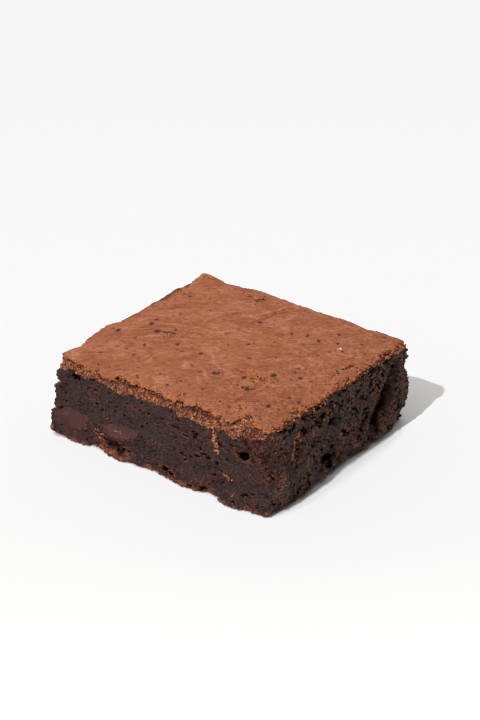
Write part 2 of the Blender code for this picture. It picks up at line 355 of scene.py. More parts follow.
class Column:
    """One upright line of the skin: where the solid's lip, wall and rim are on it."""

    def __init__(self, share):
        self.foot, self.out = plan(*round_trip(share))
        self.low = self.furthest(LIP_LEVELS)
        self.high = self.furthest(RIM_LEVELS)
        self.base = first_known(solid_height(self.at(self.low - 0.4), False), 0.3)
        self.rim = first_known(solid_height(self.at(self.high - 0.7), True), 24.0)

    def furthest(self, levels):
        reaches = (wall_reach(self.foot, self.out, height) for height in levels)
        return max(reach for reach in reaches if reach is not None)

    def at(self, reach):
        return self.foot + self.out * reach

    def wall(self, height):
        """The wall at a height, level with a chunk of chocolate over the gap around it."""
        reach = wall_reach(self.foot, self.out, height)
        if self.out.y < -0.99 and height < 12:
            nearby = [wall_reach(self.foot + Vector((x, 0, 0)), self.out, height + z)
                      for x, z in ((0.5, 0), (-0.5, 0), (0, 0.5), (0, -0.5))]
            furthest = max((value for value in nearby if value is not None), default=self.low)
            if reach is None or furthest - reach > 1.0:
                reach = furthest
        return self.low if reach is None else reach

    def point(self, run):
        """The skin's place at a length along its profile, from under the foot to under the top."""
        if run < SKIN_UNDER:
            at = self.at(self.low - (SKIN_UNDER - run))
            at.z = first_known(solid_height(at, False), self.base)
            at.z += 0.5 * smoothstep(1 - run / 0.8)
            return at
        run -= SKIN_UNDER
        if run <= SKIN_HEIGHT:
            height = self.base + 0.15 + (self.rim - self.base - 0.5) * run / SKIN_HEIGHT
            return self.at(self.wall(height)) + Vector((0, 0, height))
        inwards = run - SKIN_HEIGHT
        at = self.at(self.high - inwards)
        at.z = first_known(solid_height(at, True), self.rim) - SHEET_DEEP
        at.z -= 2.5 * smoothstep((inwards - 0.7 * SKIN_OVER) / (0.3 * SKIN_OVER))
        return at


def smooth(shape, verts, upright_only=False):
    """Round off the solid's flat faces without drawing the shape in."""
    for factor in (SMOOTH_IN, SMOOTH_OUT) * SKIN_SMOOTHING:
        bmesh.ops.smooth_vert(shape, verts=verts, factor=factor, use_axis_z=True,
                              use_axis_x=not upright_only, use_axis_y=not upright_only)


skin_columns = round(4 * (BLOCK_HALF_X + BLOCK_HALF_Y) / SKIN_STEP)
skin_runs = np.concatenate((
    np.linspace(0, SKIN_UNDER, SKIN_ROWS[0], endpoint=False),
    SKIN_UNDER + np.linspace(0, SKIN_HEIGHT, SKIN_ROWS[1], endpoint=False),
    SKIN_UNDER + SKIN_HEIGHT + np.linspace(0, SKIN_OVER, SKIN_ROWS[2] + 1),
))
skin_rows = len(skin_runs) - 1
columns = [Column(i / skin_columns) for i in range(skin_columns)]

skin = bmesh.new()
bmesh.ops.create_grid(skin, x_segments=skin_columns, y_segments=skin_rows, size=1)
for vertex in skin.verts:
    column = columns[round((vertex.co.x + 1) / 2 * skin_columns) % skin_columns]
    vertex.co = column.point(float(skin_runs[round((vertex.co.y + 1) / 2 * skin_rows)]))
bmesh.ops.remove_doubles(skin, verts=skin.verts, dist=1e-4)
bmesh.ops.recalc_face_normals(skin, faces=skin.faces)
smooth(skin, skin.verts)
skin.normal_update()
skin_at = np.array([vertex.co[:] for vertex in skin.verts])
skin_out = np.array([vertex.normal[:] for vertex in skin.verts])

# The knife's face and the torn ones: pores with red rims, the chocolate smeared round each chunk,
# the crumbly orange crust along the rim and the baked lip at the base, each as a mask and a
# relief on the same skin. A pore is a middle, half a length, half a height, a tilt and a depth.
FRONT_PORES = (
    (26.7, 14.0, 1.6, 0.8, -8, 2.0), (-28.3, 18.8, 0.9, 0.9, 0, 1.4), (-27.2, 18.2, 0.6, 0.6, 20, 1.0),
    (-24.7, 19.9, 0.5, 0.4, 0, 0.8), (-15.0, 2.8, 4.6, 1.1, -3, 0.32), (-18.6, 3.2, 0.9, 0.4, -20, 0.9),
    (-16.9, 2.5, 0.6, 0.35, 10, 0.8), (-14.5, 3.0, 1.0, 0.45, -10, 1.0), (-13.6, 2.2, 0.7, 0.3, 0, 0.8),
    (-12.0, 2.8, 0.9, 0.4, 15, 0.9), (-9.6, 2.9, 0.6, 0.3, 0, 0.7), (2.5, 2.2, 1.1, 0.5, -15, 1.2),
    (4.5, 1.7, 0.8, 0.4, 0, 1.0), (1.3, 16.3, 0.9, 0.35, 0, 0.9), (4.7, 17.9, 0.8, 0.3, 10, 0.8),
    (6.8, 17.8, 0.7, 0.3, -10, 0.8), (5.0, 15.5, 1.2, 0.4, -12, 1.0), (6.5, 15.0, 0.6, 0.3, 0, 0.9),
    (11.6, 16.1, 0.8, 0.4, 15, 1.0), (12.5, 15.6, 0.7, 0.45, 0, 0.9), (9.0, 14.2, 0.8, 0.4, -14, 0.9),
    (6.1, 12.6, 0.6, 0.3, 0, 0.7), (7.8, 8.4, 0.9, 0.4, -8, 0.9), (8.5, 8.1, 0.6, 0.3, 0, 0.8),
    (12.6, 9.3, 1.3, 0.4, 6, 1.0), (14.0, 10.4, 0.7, 0.35, 0, 0.9), (16.2, 10.1, 1.0, 0.4, -6, 1.0),
    (19.1, 9.6, 0.7, 0.6, 0, 1.0), (22.4, 11.8, 0.7, 0.4, -25, 0.9), (19.8, 15.5, 0.7, 0.3, 0, 0.8),
    (20.7, 14.8, 0.6, 0.3, 0, 0.8), (-5.7, 16.5, 0.8, 0.35, 0, 0.9), (-3.1, 16.3, 0.7, 0.3, 8, 0.8),
    (-7.6, 16.7, 0.6, 0.3, 0, 0.8), (-20.7, 13.2, 0.7, 0.35, 0, 0.9), (-18.9, 12.0, 0.6, 0.35, 10, 0.8),
    (-16.0, 15.2, 0.8, 0.35, 0, 0.9), (-14.3, 13.2, 0.8, 0.3, 0, 0.8), (-10.2, 16.8, 0.7, 0.3, 0, 0.8),
    (-16.2, 18.0, 0.8, 0.3, 5, 0.8), (-21.0, 17.2, 0.6, 0.4, 0, 0.8), (25.6, 16.5, 0.9, 0.3, 0, 0.9),
    (23.7, 16.2, 0.9, 0.35, -12, 0.9), (11.6, 1.0, 1.0, 0.5, 0, 0.9), (15.6, 1.3, 1.4, 0.6, -8, 1.1),
)
RIGHT_PORES = (
    (-5.5, 5.3, 2.1, 0.85, 8, 2.4), (-8.2, 5.0, 0.9, 0.5, 20, 1.2), (-4.0, 15.6, 1.4, 0.8, 15, 1.5),
    (-9.4, 22.6, 1.3, 0.6, 10, 1.3), (-14.8, 22.6, 1.3, 0.6, -5, 1.2), (-16.4, 22.0, 0.8, 0.5, 0, 1.1),
    (9.5, 22.9, 1.6, 0.6, 0, 1.4), (6.6, 22.7, 1.1, 0.6, 0, 1.2), (14.5, 22.7, 1.3, 0.6, 5, 1.3),
    (21.0, 22.5, 1.2, 0.5, 0, 1.1), (2.0, 22.3, 1.3, 0.6, -8, 1.2), (-21.0, 21.6, 1.5, 0.6, 20, 1.2),
    (-25.5, 20.8, 0.9, 0.5, 40, 1.0), (18.0, 9.6, 1.0, 0.7, 60, 1.2),
)
# Pores drawn at random: how many, the least and most half length, the flatness, the most tilt and
# the depth
CUT_DRAWN = (60, (0.3, 0.8), (0.3, 0.5), 14, 0.9)
TORN_DRAWN = (330, (0.25, 0.85), (0.35, 0.7), 75, 1.2)
SIDES = {
    "front": Vector((0, -1, 0)), "right": Vector((1, 0, 0)),
    "back": Vector((0, 1, 0)), "left": Vector((-1, 0, 0)),
}
PORE_RIM = 1.7
# Where the knife cut and smeared the chunks of chocolate, as (x, z), and how deep they sit
SMEARS = (
    ((-34.0, 8.0), (-31.5, 9.0), (-27.7, 9.1), (-24.3, 8.2), (-24.0, 6.6), (-26.6, 3.8), (-30.5, 2.6),
     (-33.6, 3.2)),
    ((-19.5, 7.4), (-14.0, 9.3), (-9.0, 10.3), (-6.3, 9.8), (-7.4, 7.9), (-12.6, 5.6), (-17.0, 5.2)),
)
CHUNK_SEAT = 0.04
# Along the front, from left to right: the lower edge of the orange crust, as (x, z)
CRUST_EDGE = (
    (-36, 19.2), (-32.5, 19.5), (-30.0, 21.0), (-27.9, 21.4), (-27.2, 20.2), (-24.8, 19.9), (-20.8, 20.8),
    (-18.5, 20.5), (-16.2, 20.0), (-13.1, 19.1), (-11.0, 19.1), (-7.7, 20.5), (-6.4, 19.6), (-2.4, 20.2),
    (2.6, 20.6), (5.2, 20.8), (6.2, 19.4), (7.4, 19.3), (9.4, 20.0), (11.3, 20.0), (12.6, 19.3),
    (17.0, 19.4), (18.9, 18.9), (21.4, 20.1), (22.7, 18.8), (24.6, 18.6), (26.4, 20.1), (30.7, 20.2),
    (33.2, 21.5), (37, 22.3),
)
CRUST_EDGE_ELSEWHERE = 22.9
LIP_HEIGHT = 0.9
# The crack under the top sheet's edge: how far below the rim, half its height and its depth
SEAM_BELOW, SEAM_HIGH, SEAM_DEEP = 0.75, 0.5, 0.7
# Patches of red-brown crumb on each side, as a middle, a reach and a strength
RUSTY = {
    "front": (
        (31.5, 17.5, 7.5, 1.0), (32.6, 8.6, 3.0, 0.7), (23.0, 6.8, 1.3, 1.0), (25.2, 3.0, 0.9, 1.0),
        (-24.2, 6.2, 1.6, 0.7), (-20.6, 4.6, 1.8, 0.8), (-16.6, 2.6, 3.2, 1.0), (-12.4, 2.6, 3.4, 1.0),
        (-29.0, 1.6, 3.0, 0.5), (6.5, 1.8, 3.0, 0.8), (14.0, 1.6, 3.2, 0.8), (1.5, 2.2, 2.0, 0.7),
        (18.6, 16.0, 1.6, 0.6),
    ),
    "right": (
        (-26.5, 18.0, 6.0, 0.35), (-27.1, 11.2, 1.2, 1.0), (-4.0, 19.9, 1.6, 1.0), (8.5, 7.2, 2.8, 1.0),
        (22.5, 12.5, 3.2, 0.6), (25.5, 8.0, 3.2, 1.0), (22.0, 5.6, 2.4, 0.6), (26.0, 11.5, 2.8, 1.0),
        (-17.5, 1.8, 2.8, 1.0), (-22.5, 1.0, 3.0, 0.8), (-27.5, 1.0, 2.6, 0.8), (-1.2, 3.6, 2.0, 1.0),
        (3.5, 2.2, 2.0, 0.9), (12.5, 3.2, 2.4, 1.0), (17.0, 4.0, 2.2, 1.0), (26.8, 15.5, 2.4, 0.8),
    ),
    "back": (
        (-14.0, 12.0, 4.0, 0.8), (17.0, 7.0, 5.0, 0.8),
    ),
    "left": (
        (5.0, 9.0, 4.5, 0.8), (-19.0, 15.0, 4.0, 0.8),
    ),
}
# Where the right side tore clean, as (y, z) and a reach
TORN_CLEAN = (
    ((-16.4, 10.1), 2.0), ((6.9, 3.4), 1.8), ((-8.4, 2.4), 1.7), ((-1.6, 7.2), 1.5), ((-25.6, 8.4), 2.2),
)
CLEFT = ((24.2, 17.0), (22.6, 13.5), (21.2, 9.9), (18.7, 7.8), (16.6, 5.6))
CLEFT_WIDE, CLEFT_DEEP = 0.7, 1.2
# Where the right wall stands out over the foot, which is cut back under it: how high and how deep
# the cut is, where it is filled up again, as (y, z), a reach and how far out, and then how far the
# wall stands out, as (y, how far)
FOOT_LIFT, FOOT_CUT = 1.6, 3.0
FILL, FILL_REACH, FILL_OUT = (-8.4, 2.6), 2.0, 1.3
RIGHT_BULGE = (
    (-31.0, 0.0), (-28.0, 0.8), (-25.0, 1.2), (-20.0, 0.9), (-17.0, 1.4), (-13.0, 0.9), (-8.0, 0.6),
    (-2.0, 0.5), (4.0, 0.2), (8.0, 0.7), (12.0, 0.9), (15.0, 0.2), (19.0, 0.6), (24.0, 0.6), (31.0, 0.0),
)
# The left front corner's outline, as (z, how far out)
LEFT_CORNER = (
    (0.4, -1.7), (1.2, 0.9), (1.8, 1.0), (2.4, 0.9), (3.2, 0.6), (3.9, 1.2), (4.9, 1.1), (6.0, 1.4),
    (6.8, 1.5), (7.3, -0.8), (7.9, 0.2), (8.6, 0.5), (10.4, 0.0), (12.2, 0.3), (13.4, 0.3), (14.5, 0.8),
    (15.0, -0.6), (15.5, -1.2), (16.2, 1.0), (17.1, 1.3), (18.2, 0.8), (18.9, -0.4), (19.6, -0.5),
    (20.2, -0.6), (20.8, -1.3), (21.6, -1.3), (22.4, -0.2), (23.6, 1.0),
)

CLUMP_SIZE = 3.2
LUMP_SIZE = 0.85
SEED = 27


def tree_of(places):
    """A search tree that finds the nearest of some places, as its number in their order."""
    made = kdtree.KDTree(len(places))
    for index, place in enumerate(places):
        made.insert(place, index)
    made.balance()
    return made


tree = tree_of(skin_at)
foot_tree = tree_of([column.foot for column in columns])
draw = random.Random(SEED)
# Without a seed other than 0, noise_vector takes its offsets from the clock
noise.seed_set(SEED)


def turned_by(bearing, across, upward):
    """A flat place, measured in axes that are turned by a bearing."""
    return (across * math.cos(bearing) + upward * math.sin(bearing),
            upward * math.cos(bearing) - across * math.sin(bearing))


def along(side):
    """The level way along a side, to the right as it is faced from outside."""
    return Vector((-SIDES[side].y, SIDES[side].x, 0.0))


def placed_pores(side, pores):
    """Pores given one by one, as (middle on the skin, side, half length, half height, tilt, depth)."""
    for across, height, half_long, half_high, tilt, depth in pores:
        middle = along(side) * across + Vector((0, 0, height))
        hit, *_ = surface.ray_cast(middle + SIDES[side] * 60, -SIDES[side])
        yield hit, side, half_long, half_high, tilt, depth


def drawn_pores(side, count, length, flatness, tilt, depth):
    facing = np.flatnonzero((skin_out @ np.array(SIDES[side]) > 0.7) & (skin_at[:, 2] > 0.5))
    for _ in range(count):
        middle = Vector(skin_at[draw.choice(facing)])
        half_long = length[0] + (length[1] - length[0]) * draw.random() ** 2
        half_high = half_long * draw.uniform(*flatness)
        share = min(1.0, half_long / 0.6)
        yield middle, side, half_long, max(half_high, 0.24), draw.uniform(-tilt, tilt), depth * share


def segment_gap(point, start, end):
    """How far a flat point is from one straight piece of a path."""
    start, end = Vector(start), Vector(end)
    share = (point - start).dot(end - start) / (end - start).length_squared
    return (point - start.lerp(end, min(max(share, 0), 1))).length


def path_distance(point, path):
    return min(segment_gap(point, start, end) for start, end in zip(path, path[1:]))


def outside(point, outline):
    """Signed distance of a flat point from a closed outline, more than 0 outside."""
    nearest, inside = path_distance(point, outline + outline[:1]), False
    for start, end in zip(outline, outline[1:] + outline[:1]):
        start, end = Vector(start), Vector(end)
        if (start.y > point.y) != (end.y > point.y):
            if point.x < start.x + (point.y - start.y) * (end.x - start.x) / (end.y - start.y):
                inside = not inside
    return -nearest if inside else nearest


def cells(point, size):
    """How far a point is from the nearest crack between clumps, 0 in it and about 1 between."""
    (nearest, second, *_), _ = noise.voronoi(point / size)
    return second - nearest


def wandering(point, size, wide):
    """Cracks along wandering lines: 1 in a crack, and 1 beside it."""
    gap = abs(noise.noise(point / size)) * size / 0.75
    return smoothstep(1.6 - gap / (wide / 2)), smoothstep(1.4 - abs(gap - 1.3 * wide) / (0.6 * wide))


def torn_relief(point):
    """The torn side: flat clumps at their own heights, cracks between some, and the cracks' edges."""
    bent = point + 0.9 * noise.noise_vector(point / 1.9) + 0.35 * noise.noise_vector(point / 0.7)
    (nearest, second, *_), (spot, *_) = noise.voronoi(bent / CLUMP_SIZE)
    gap = (second - nearest) * CLUMP_SIZE
    own = 0.24 * noise.noise(spot * 5.1)
    own += 0.30 * (bent / CLUMP_SIZE - spot).dot(noise.noise_vector(spot * 3.7))
    here = smoothstep(0.30 + 2.6 * noise.noise(point / 3.1))
    deep = here * smoothstep(1.5 - gap / 0.30)
    edge = here * smoothstep(1.5 - abs(gap - 0.75) / 0.35)
    line, beside = wandering(bent + Vector((30, 0, 0)), 2.6, 0.34)
    there = smoothstep(0.10 + 3.2 * noise.noise((point + Vector((0, 50, 0))) / 2.4))
    deep, edge = max(deep, there * line), max(edge, there * beside)
    broad = 0.16 * noise.noise(point / 7.0) + 0.15 * noise.noise(point / 2.2)
    broad += 0.16 * noise.noise(point / 0.8)
    return broad + own * smoothstep(gap / 0.8) - 0.8 * deep, deep, edge


def cut_relief(point):
    """The cut face: smooth, but for slits that the knife dragged open, in clusters, and their edges."""
    bent = point + 0.35 * noise.noise_vector(point / 0.9)
    streak = noise.noise(Vector((bent.x / 1.3, bent.y / 1.3, bent.z / 0.55)))
    cluster = noise.noise(point / 4.0)
    slit = streak - 0.56 + 0.44 * cluster
    deep = smoothstep(slit * 10)
    rim = smoothstep(0.4 + 3 * cluster) * smoothstep((slit + 0.13) * 9) * (1 - deep)
    return 0.10 * noise.noise(point / 3.5) + 0.04 * noise.noise(point / 0.8) - 0.9 * deep, deep, rim


def porous(point):
    """The broken crust: 1 in its holes and 0 on its lumps."""
    bent = point + 0.25 * noise.noise_vector(point / 0.6)
    return smoothstep(0.95 - 2.0 * cells(bent, LUMP_SIZE) + 0.9 * noise.noise(point / 1.3))


def seam(point, out):
    """The crack under the top sheet's edge, open in places."""
    _, nearest, _ = foot_tree.find((point.x, point.y, 0))
    below = columns[nearest].rim - point.z
    open_share = smoothstep(0.6 + 2.5 * noise.noise(point / 2.6))
    open_share *= smoothstep((point.x + 16) / 7) if out.y < -0.7 else 0.35
    upright = smoothstep(2.2 - 2.6 * abs(out.z))
    return upright * open_share * smoothstep(1.3 - abs(below - SEAM_BELOW) / SEAM_HIGH)


def reshaped(point):
    """The wall's undercut foot and the left front corner's outline, as a shift of a point of the skin."""
    shift = Vector((0, 0, 0))
    ends = smoothstep((30.5 - abs(point.y)) / 3)
    if point.x > 30:
        share = smoothstep((point.x - 30) / 2) * ends
        lift = FOOT_LIFT + 1.6 * noise.noise(Vector((point.y / 4.5, 3, 0)))
        shift.x += np.interp(point.y, *zip(*RIGHT_BULGE)) * smoothstep((11 - point.z) / 6) * share
        shift.x -= FOOT_CUT * smoothstep((lift - point.z) / 0.9) * share
        fill_gap = math.hypot(point.y - FILL[0], point.z - FILL[1]) / FILL_REACH
        shift.x += FILL_OUT * smoothstep(1.4 - fill_gap)
    gap = math.hypot(point.x - block_middle.x + BLOCK_HALF_X, point.y - block_middle.y + BLOCK_HALF_Y)
    if gap < 4.0:
        stands_out = np.interp(point.z, *zip(*LEFT_CORNER)) + 0.35 * noise.noise(point / 0.55)
        shift += Vector((-0.7, -0.7, 0)) * stands_out * smoothstep(1.6 - gap / 2.4)
    return shift


def front_share(out):
    return smoothstep(-1.6 * out.y - 0.2)


def crust_edge(point, out):
    """Height of the orange crust's lower edge, ragged."""
    front = np.interp(point.x, *zip(*CRUST_EDGE))
    share = front_share(out)
    edge = front * share + CRUST_EDGE_ELSEWHERE * (1 - share)
    return edge + (0.35 + 0.8 * (1 - share)) * noise.noise(point / 1.2) + 0.4 * noise.noise(point / 0.5)


pores = list(placed_pores("front", FRONT_PORES)) + list(placed_pores("right", RIGHT_PORES))
for side in SIDES:
    pores += drawn_pores(side, *(CUT_DRAWN if side == "front" else TORN_DRAWN))
sunk = np.zeros(len(skin_at))
pit_rim = np.zeros(len(skin_at))
for middle, side, half_long, half_high, tilt, depth in pores:
    level = along(side)
    for place, index, _ in tree.find_range(middle, half_long * PORE_RIM + 0.3):
        away = place - middle
        long, high = turned_by(math.radians(tilt), away.dot(level), away.z)
        ragged = 0.45 * noise.noise(place * 1.4) + 0.35 * noise.noise(place * 3.7)
        gap = math.hypot(long / half_long, high / half_high) + ragged
        if gap < 1:
            sunk[index] = max(sunk[index], depth * (1 - gap * gap))
        if gap < PORE_RIM:
            pit_rim[index] = max(pit_rim[index], 1 - abs(gap - 1.15) / 0.55)

rusty = np.zeros(len(skin_at))
for side, rust_patches in RUSTY.items():
    for across, height, reach, strength in rust_patches:
        middle = along(side) * across + SIDES[side] * 40 + Vector((0, 0, height))
        hit, *_ = surface.ray_cast(middle, -SIDES[side])
        for _, index, gap in tree.find_range(hit, reach):
            rusty[index] = max(rusty[index], strength * smoothstep(1.6 - 1.6 * gap / reach))

crust_share, lip_share, cavity_shade, smear, moved, torn_share = np.zeros((6, len(skin_at)))
shifts = np.zeros((len(skin_at), 3))
for index, (place, way) in enumerate(zip(skin_at, skin_out)):
    point, out = Vector(place), Vector(way)
    front = front_share(out)
    torn, torn_deep, torn_rim = torn_relief(point) if front < 1 else (0.0, 0.0, 0.0)
    cut, cut_deep, cut_rim = cut_relief(point) if front > 0 else (0.0, 0.0, 0.0)
    chocolate = 0.0
    if front > 0.5 and point.z < 12 and point.x < -4:
        flat = Vector((point.x + 0.6 * noise.noise(point / 1.3), point.z + 0.6 * noise.noise(point / 1.1)))
        chocolate = max(smoothstep(0.5 - outside(flat, outline) / 0.9) for outline in SMEARS)
        plain = 1 - chocolate
        cut, cut_deep, cut_rim = cut * plain, cut_deep * plain, cut_rim * plain
        sunk[index] *= plain
        pit_rim[index] *= plain
    if out.x > 0.5:
        clean = max(
            smoothstep(1.6 - math.hypot(point.y - y, point.z - z) / reach) for (y, z), reach in TORN_CLEAN
        )
        torn_deep *= 1 - clean
        torn *= 1 - 0.6 * clean
        sunk[index] *= 1 - clean
    deep = (torn_deep * (1 - front) + cut_deep * front) * (1 - 0.8 * rusty[index])
    relief = (torn * (1 - front) + cut * front) * (1 - 0.5 * rusty[index])
    if out.x > 0.5 and point.y > 12:
        flat = Vector((point.y + 0.6 * noise.noise(point / 1.5), point.z))
        groove = path_distance(flat, CLEFT) / CLEFT_WIDE
        share = smoothstep((17 - point.z) / 5)
        relief -= CLEFT_DEEP * share * smoothstep(1.3 - groove)
        deep = max(deep, 0.6 * share * smoothstep(1.2 - groove))
    edge = crust_edge(point, out)
    crust_share[index] = smoothstep((point.z - edge) / 0.4 + 0.5)
    lip_top = LIP_HEIGHT + 1.1 * noise.noise(point / 1.7)
    lip_top += 0.5 * smoothstep(2 - abs(point.x + 15) / 4) * front
    lip = smoothstep((lip_top - point.z) / 0.5 + 0.5)
    lip_share[index] = lip * (front + 0.7 * (1 - front) * smoothstep(0.6 + 2 * noise.noise(point / 4.0)))
    baked = max(crust_share[index], 0.7 * lip_share[index])
    holes = porous(point)
    shifts[index] = reshaped(point)
    crack = seam(point, out) if point.z > 20 else 0.0
    rough = rusty[index] * (0.5 - porous(point * 1.2))
    fine = (0.07 + 0.05 * (1 - front)) * noise.noise(point / 0.45) * (1 - chocolate)
    if min(abs(out.x), abs(out.y)) > 0.3:
        fine += 0.5 * noise.noise(point / 1.1) + 0.3 * noise.noise(point / 0.5)
    moved[index] = relief * (1 - 0.65 * baked) + (0.30 - 0.65 * holes) * baked + 0.25 * rough * (1 - baked)
    moved[index] += fine - CHUNK_SEAT * chocolate - SEAM_DEEP * crack
    # This mask is painted shade: pores, cracks, the crust's holes and the crack under the sheet are
    # darkened where shade falls in them
    rust_holes = (0.7 - 0.15 * front) * holes * rusty[index]
    cavity_shade[index] = max(deep * (1 - 0.6 * baked), 0.9 * holes * baked, rust_holes, crack)
    pit_rim[index] = max(
        pit_rim[index] * (0.6 + 0.4 * front), torn_rim * 0.85 * (1 - front), cut_rim * front
    )
    smear[index] = chocolate
    torn_share[index] = 1 - front
# Pores add their depth to the painted shade
cavity_shade = np.maximum(cavity_shade, np.clip(sunk * 1.5, 0, 1))
foot_share = np.clip((skin_at[:, 2] - 0.05) / 0.5, 0, 1)
moved = (moved - sunk * (1 - 0.4 * crust_share)) * foot_share
shaped = skin_at + skin_out * moved[:, None] + shifts
shaped[:, 2] = np.maximum(shaped[:, 2], 0.02)
for vertex, place in zip(skin.verts, shaped):
    vertex.co = place
skin.normal_update()
shaped_out = np.array([vertex.normal[:] for vertex in skin.verts])
open_edges = [edge for edge in skin.edges if edge.is_boundary]
bmesh.ops.holes_fill(skin, edges=open_edges, sides=0)
bmesh.ops.recalc_face_normals(skin, faces=skin.faces)


def piece(name, shape, material, masks=None):
    """A piece of the object from a bmesh in millimetres. Masks are values for its vertices."""
    bmesh.ops.scale(shape, vec=(MM, MM, MM), verts=shape.verts)
    mesh = bpy.data.meshes.new(name)
    shape.to_mesh(mesh)
    shape.free()
    for mask, values in (masks or {}).items():
        mesh.attributes.new(mask, "FLOAT", "POINT").data.foreach_set("value", values)
    mesh.shade_smooth()
    mesh.materials.append(material)
    made = bpy.data.objects.new(name, mesh)
    bpy.context.scene.collection.objects.link(made)
    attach(made, "root")
    return made


CRUMB_DARK, CRUMB_BROWN = (0.0180, 0.0104, 0.0100), (0.0575, 0.0332, 0.0318)
# The second colour is near black: painted shade for pores, slits and cracks
CRUMB_PALE, CRUMB_PAINTED_SHADE = (0.13, 0.070, 0.060), (0.003, 0.0012, 0.0012)
CRUMB_EMBER, CRUMB_RUST = (0.29, 0.080, 0.036), (0.098, 0.036, 0.027)
# The torn sides' crumb: greyer than the cut face, and painted lighter to make up for the room's dim light
# on the right
TORN_DARK_PAINTED_LIGHTER, TORN_BROWN_PAINTED_LIGHTER = (0.0275, 0.0184, 0.0168), (0.1045, 0.0735, 0.0660)
TORN_EMBER_PAINTED_LIGHTER, TORN_PAINTED_LIGHT = (0.42, 0.130, 0.050), (0.165, 0.108, 0.097)
CHOCOLATE, CHOCOLATE_DEEP = (0.087, 0.0370, 0.0350), (0.066, 0.0310, 0.0295)
CHOCOLATE_PALE = (0.134, 0.053, 0.043)
CRUST_PALE, CRUST_TAN, CRUST_RUST = (0.78, 0.36, 0.185), (0.54, 0.185, 0.078), (0.240, 0.066, 0.034)
CRUST_DARK, CRUST_PIT_SHADE = (0.060, 0.019, 0.015), (0.080, 0.023, 0.018)
CRUST_PURPLE, CRUST_RED = (0.105, 0.050, 0.045), (0.290, 0.064, 0.028)
LIP_RED, LIP_ORANGE = (0.160, 0.044, 0.025), (0.36, 0.085, 0.036)


def chocolate_tone(finish):
    """Cut chocolate, dragged along by the knife and paler low down where cake dust clings to it."""
    smears = finish.noise(1.2, 2.0, 0.5, finish.stretched(3.0, 0.9))
    tilted = finish.towards((-0.35, 0.0, 1.0))
    dusty = (tilted * -1).rise(-0.0125, -0.0105) * tilted.rise(0.0090, 0.0100)
    return finish.coats(
        CHOCOLATE,
        (smears.rise(0.35, 0.65) * 0.6, CHOCOLATE_DEEP),
        (finish.noise(3.2, 3.0).rise(0.52, 0.68) * 0.6, CHOCOLATE_PALE),
        (dusty * finish.noise(0.5, 2.0).rise(0.35, 0.6) * 0.7, CHOCOLATE_PALE),
    )


crumb = Finish("crumb")
crust_mask = crumb.attribute("crust")
lip_mask = crumb.attribute("lip")
pit_shade_mask = crumb.attribute("cavity_shade")
rust_mask = crumb.attribute("rust")
torn_mask = crumb.attribute("torn")
smear_mask = crumb.attribute("smear")
mottle = crumb.noise(2.6, 3.0)
grain = crumb.noise(0.62, 3.0, 0.75)
flecks = crumb.noise(0.45, 2.0)
patches = crumb.noise(5.0, 1.0)
dark_cake = crumb.mix(torn_mask, CRUMB_DARK, TORN_DARK_PAINTED_LIGHTER)
brown_cake = crumb.mix(torn_mask, CRUMB_BROWN, TORN_BROWN_PAINTED_LIGHTER)
ember = crumb.mix(torn_mask, CRUMB_EMBER, TORN_EMBER_PAINTED_LIGHTER)
# Painted light: the torn sides paler still towards the back
backwards = crumb.towards((0.0, 1.0, 0.0))
brown_cake = crumb.mix(backwards.rise(0.0, 0.030) * torn_mask * 0.4, brown_cake, TORN_PAINTED_LIGHT)
ember_share = crumb.attribute("pit_rim") * flecks.rise(0.46, 0.56) * patches.rise(0.36, 0.54)
red_crumbs = crumb.noise(0.55, 3.0, 0.7)
dragged = crumb.node("ShaderNodeMapping", None, {"Vector": crumb.place, "Scale": (1 / 1.9, 1.0, 1 / 0.62)})
slits = crumb.noise(1.0, 2.0, 0.5, dragged) + (crumb.noise(4.5, 1.0) - 0.5) * 0.6
slit_share = (1 - torn_mask) * (1 - smear_mask)
sparks = crumb.noise(0.65, 2.0, 0.6)
spark_share = patches.rise(0.50, 0.60) * 0.3 + 0.15
cake = crumb.coats(
    crumb.mix(mottle.rise(0.3, 0.7) * 0.22 + grain.rise(0.36, 0.60) * 0.78, dark_cake, brown_cake),
    ((flecks + grain * 0.5).rise(0.88, 0.96) * 0.35, CRUMB_PALE),
    ((ember_share * 0.85 + (flecks + patches * 0.6).rise(1.0, 1.04) * 0.6).least(0.85), ember),
    (rust_mask * red_crumbs.rise(0.40, 0.56) * 0.7, CRUMB_RUST),
    (rust_mask * red_crumbs.rise(0.565, 0.62) * 0.85, ember),
    (rust_mask * (1 - red_crumbs.rise(0.38, 0.44)) * 0.85, CRUST_DARK),
    # The cut face's slits are drawn in colour alone: a red edge, and a core painted black as shade
    (slits.rise(0.63, 0.69) * flecks.rise(0.42, 0.54) * slit_share * 0.5, CRUMB_EMBER),
    (slits.rise(0.69, 0.72) * slit_share * 0.9, CRUMB_PAINTED_SHADE),
    (sparks.rise(0.585, 0.62) * torn_mask * spark_share, ember),
    # Small holes on the torn sides, painted black as shade
    ((1 - sparks.rise(0.37, 0.42)) * torn_mask * 0.8, CRUMB_PAINTED_SHADE),
    (smear_mask * 0.95, chocolate_tone(crumb)),
    # Pores and cracks painted black as shade
    (pit_shade_mask.rise(0.1, 0.7), CRUMB_PAINTED_SHADE),
)
crumbs = crumb.noise(0.62, 3.0, 0.65)
hues = crumb.noise(0.8, 2.0)
broad_hues = crumb.noise(5.5, 1.0)
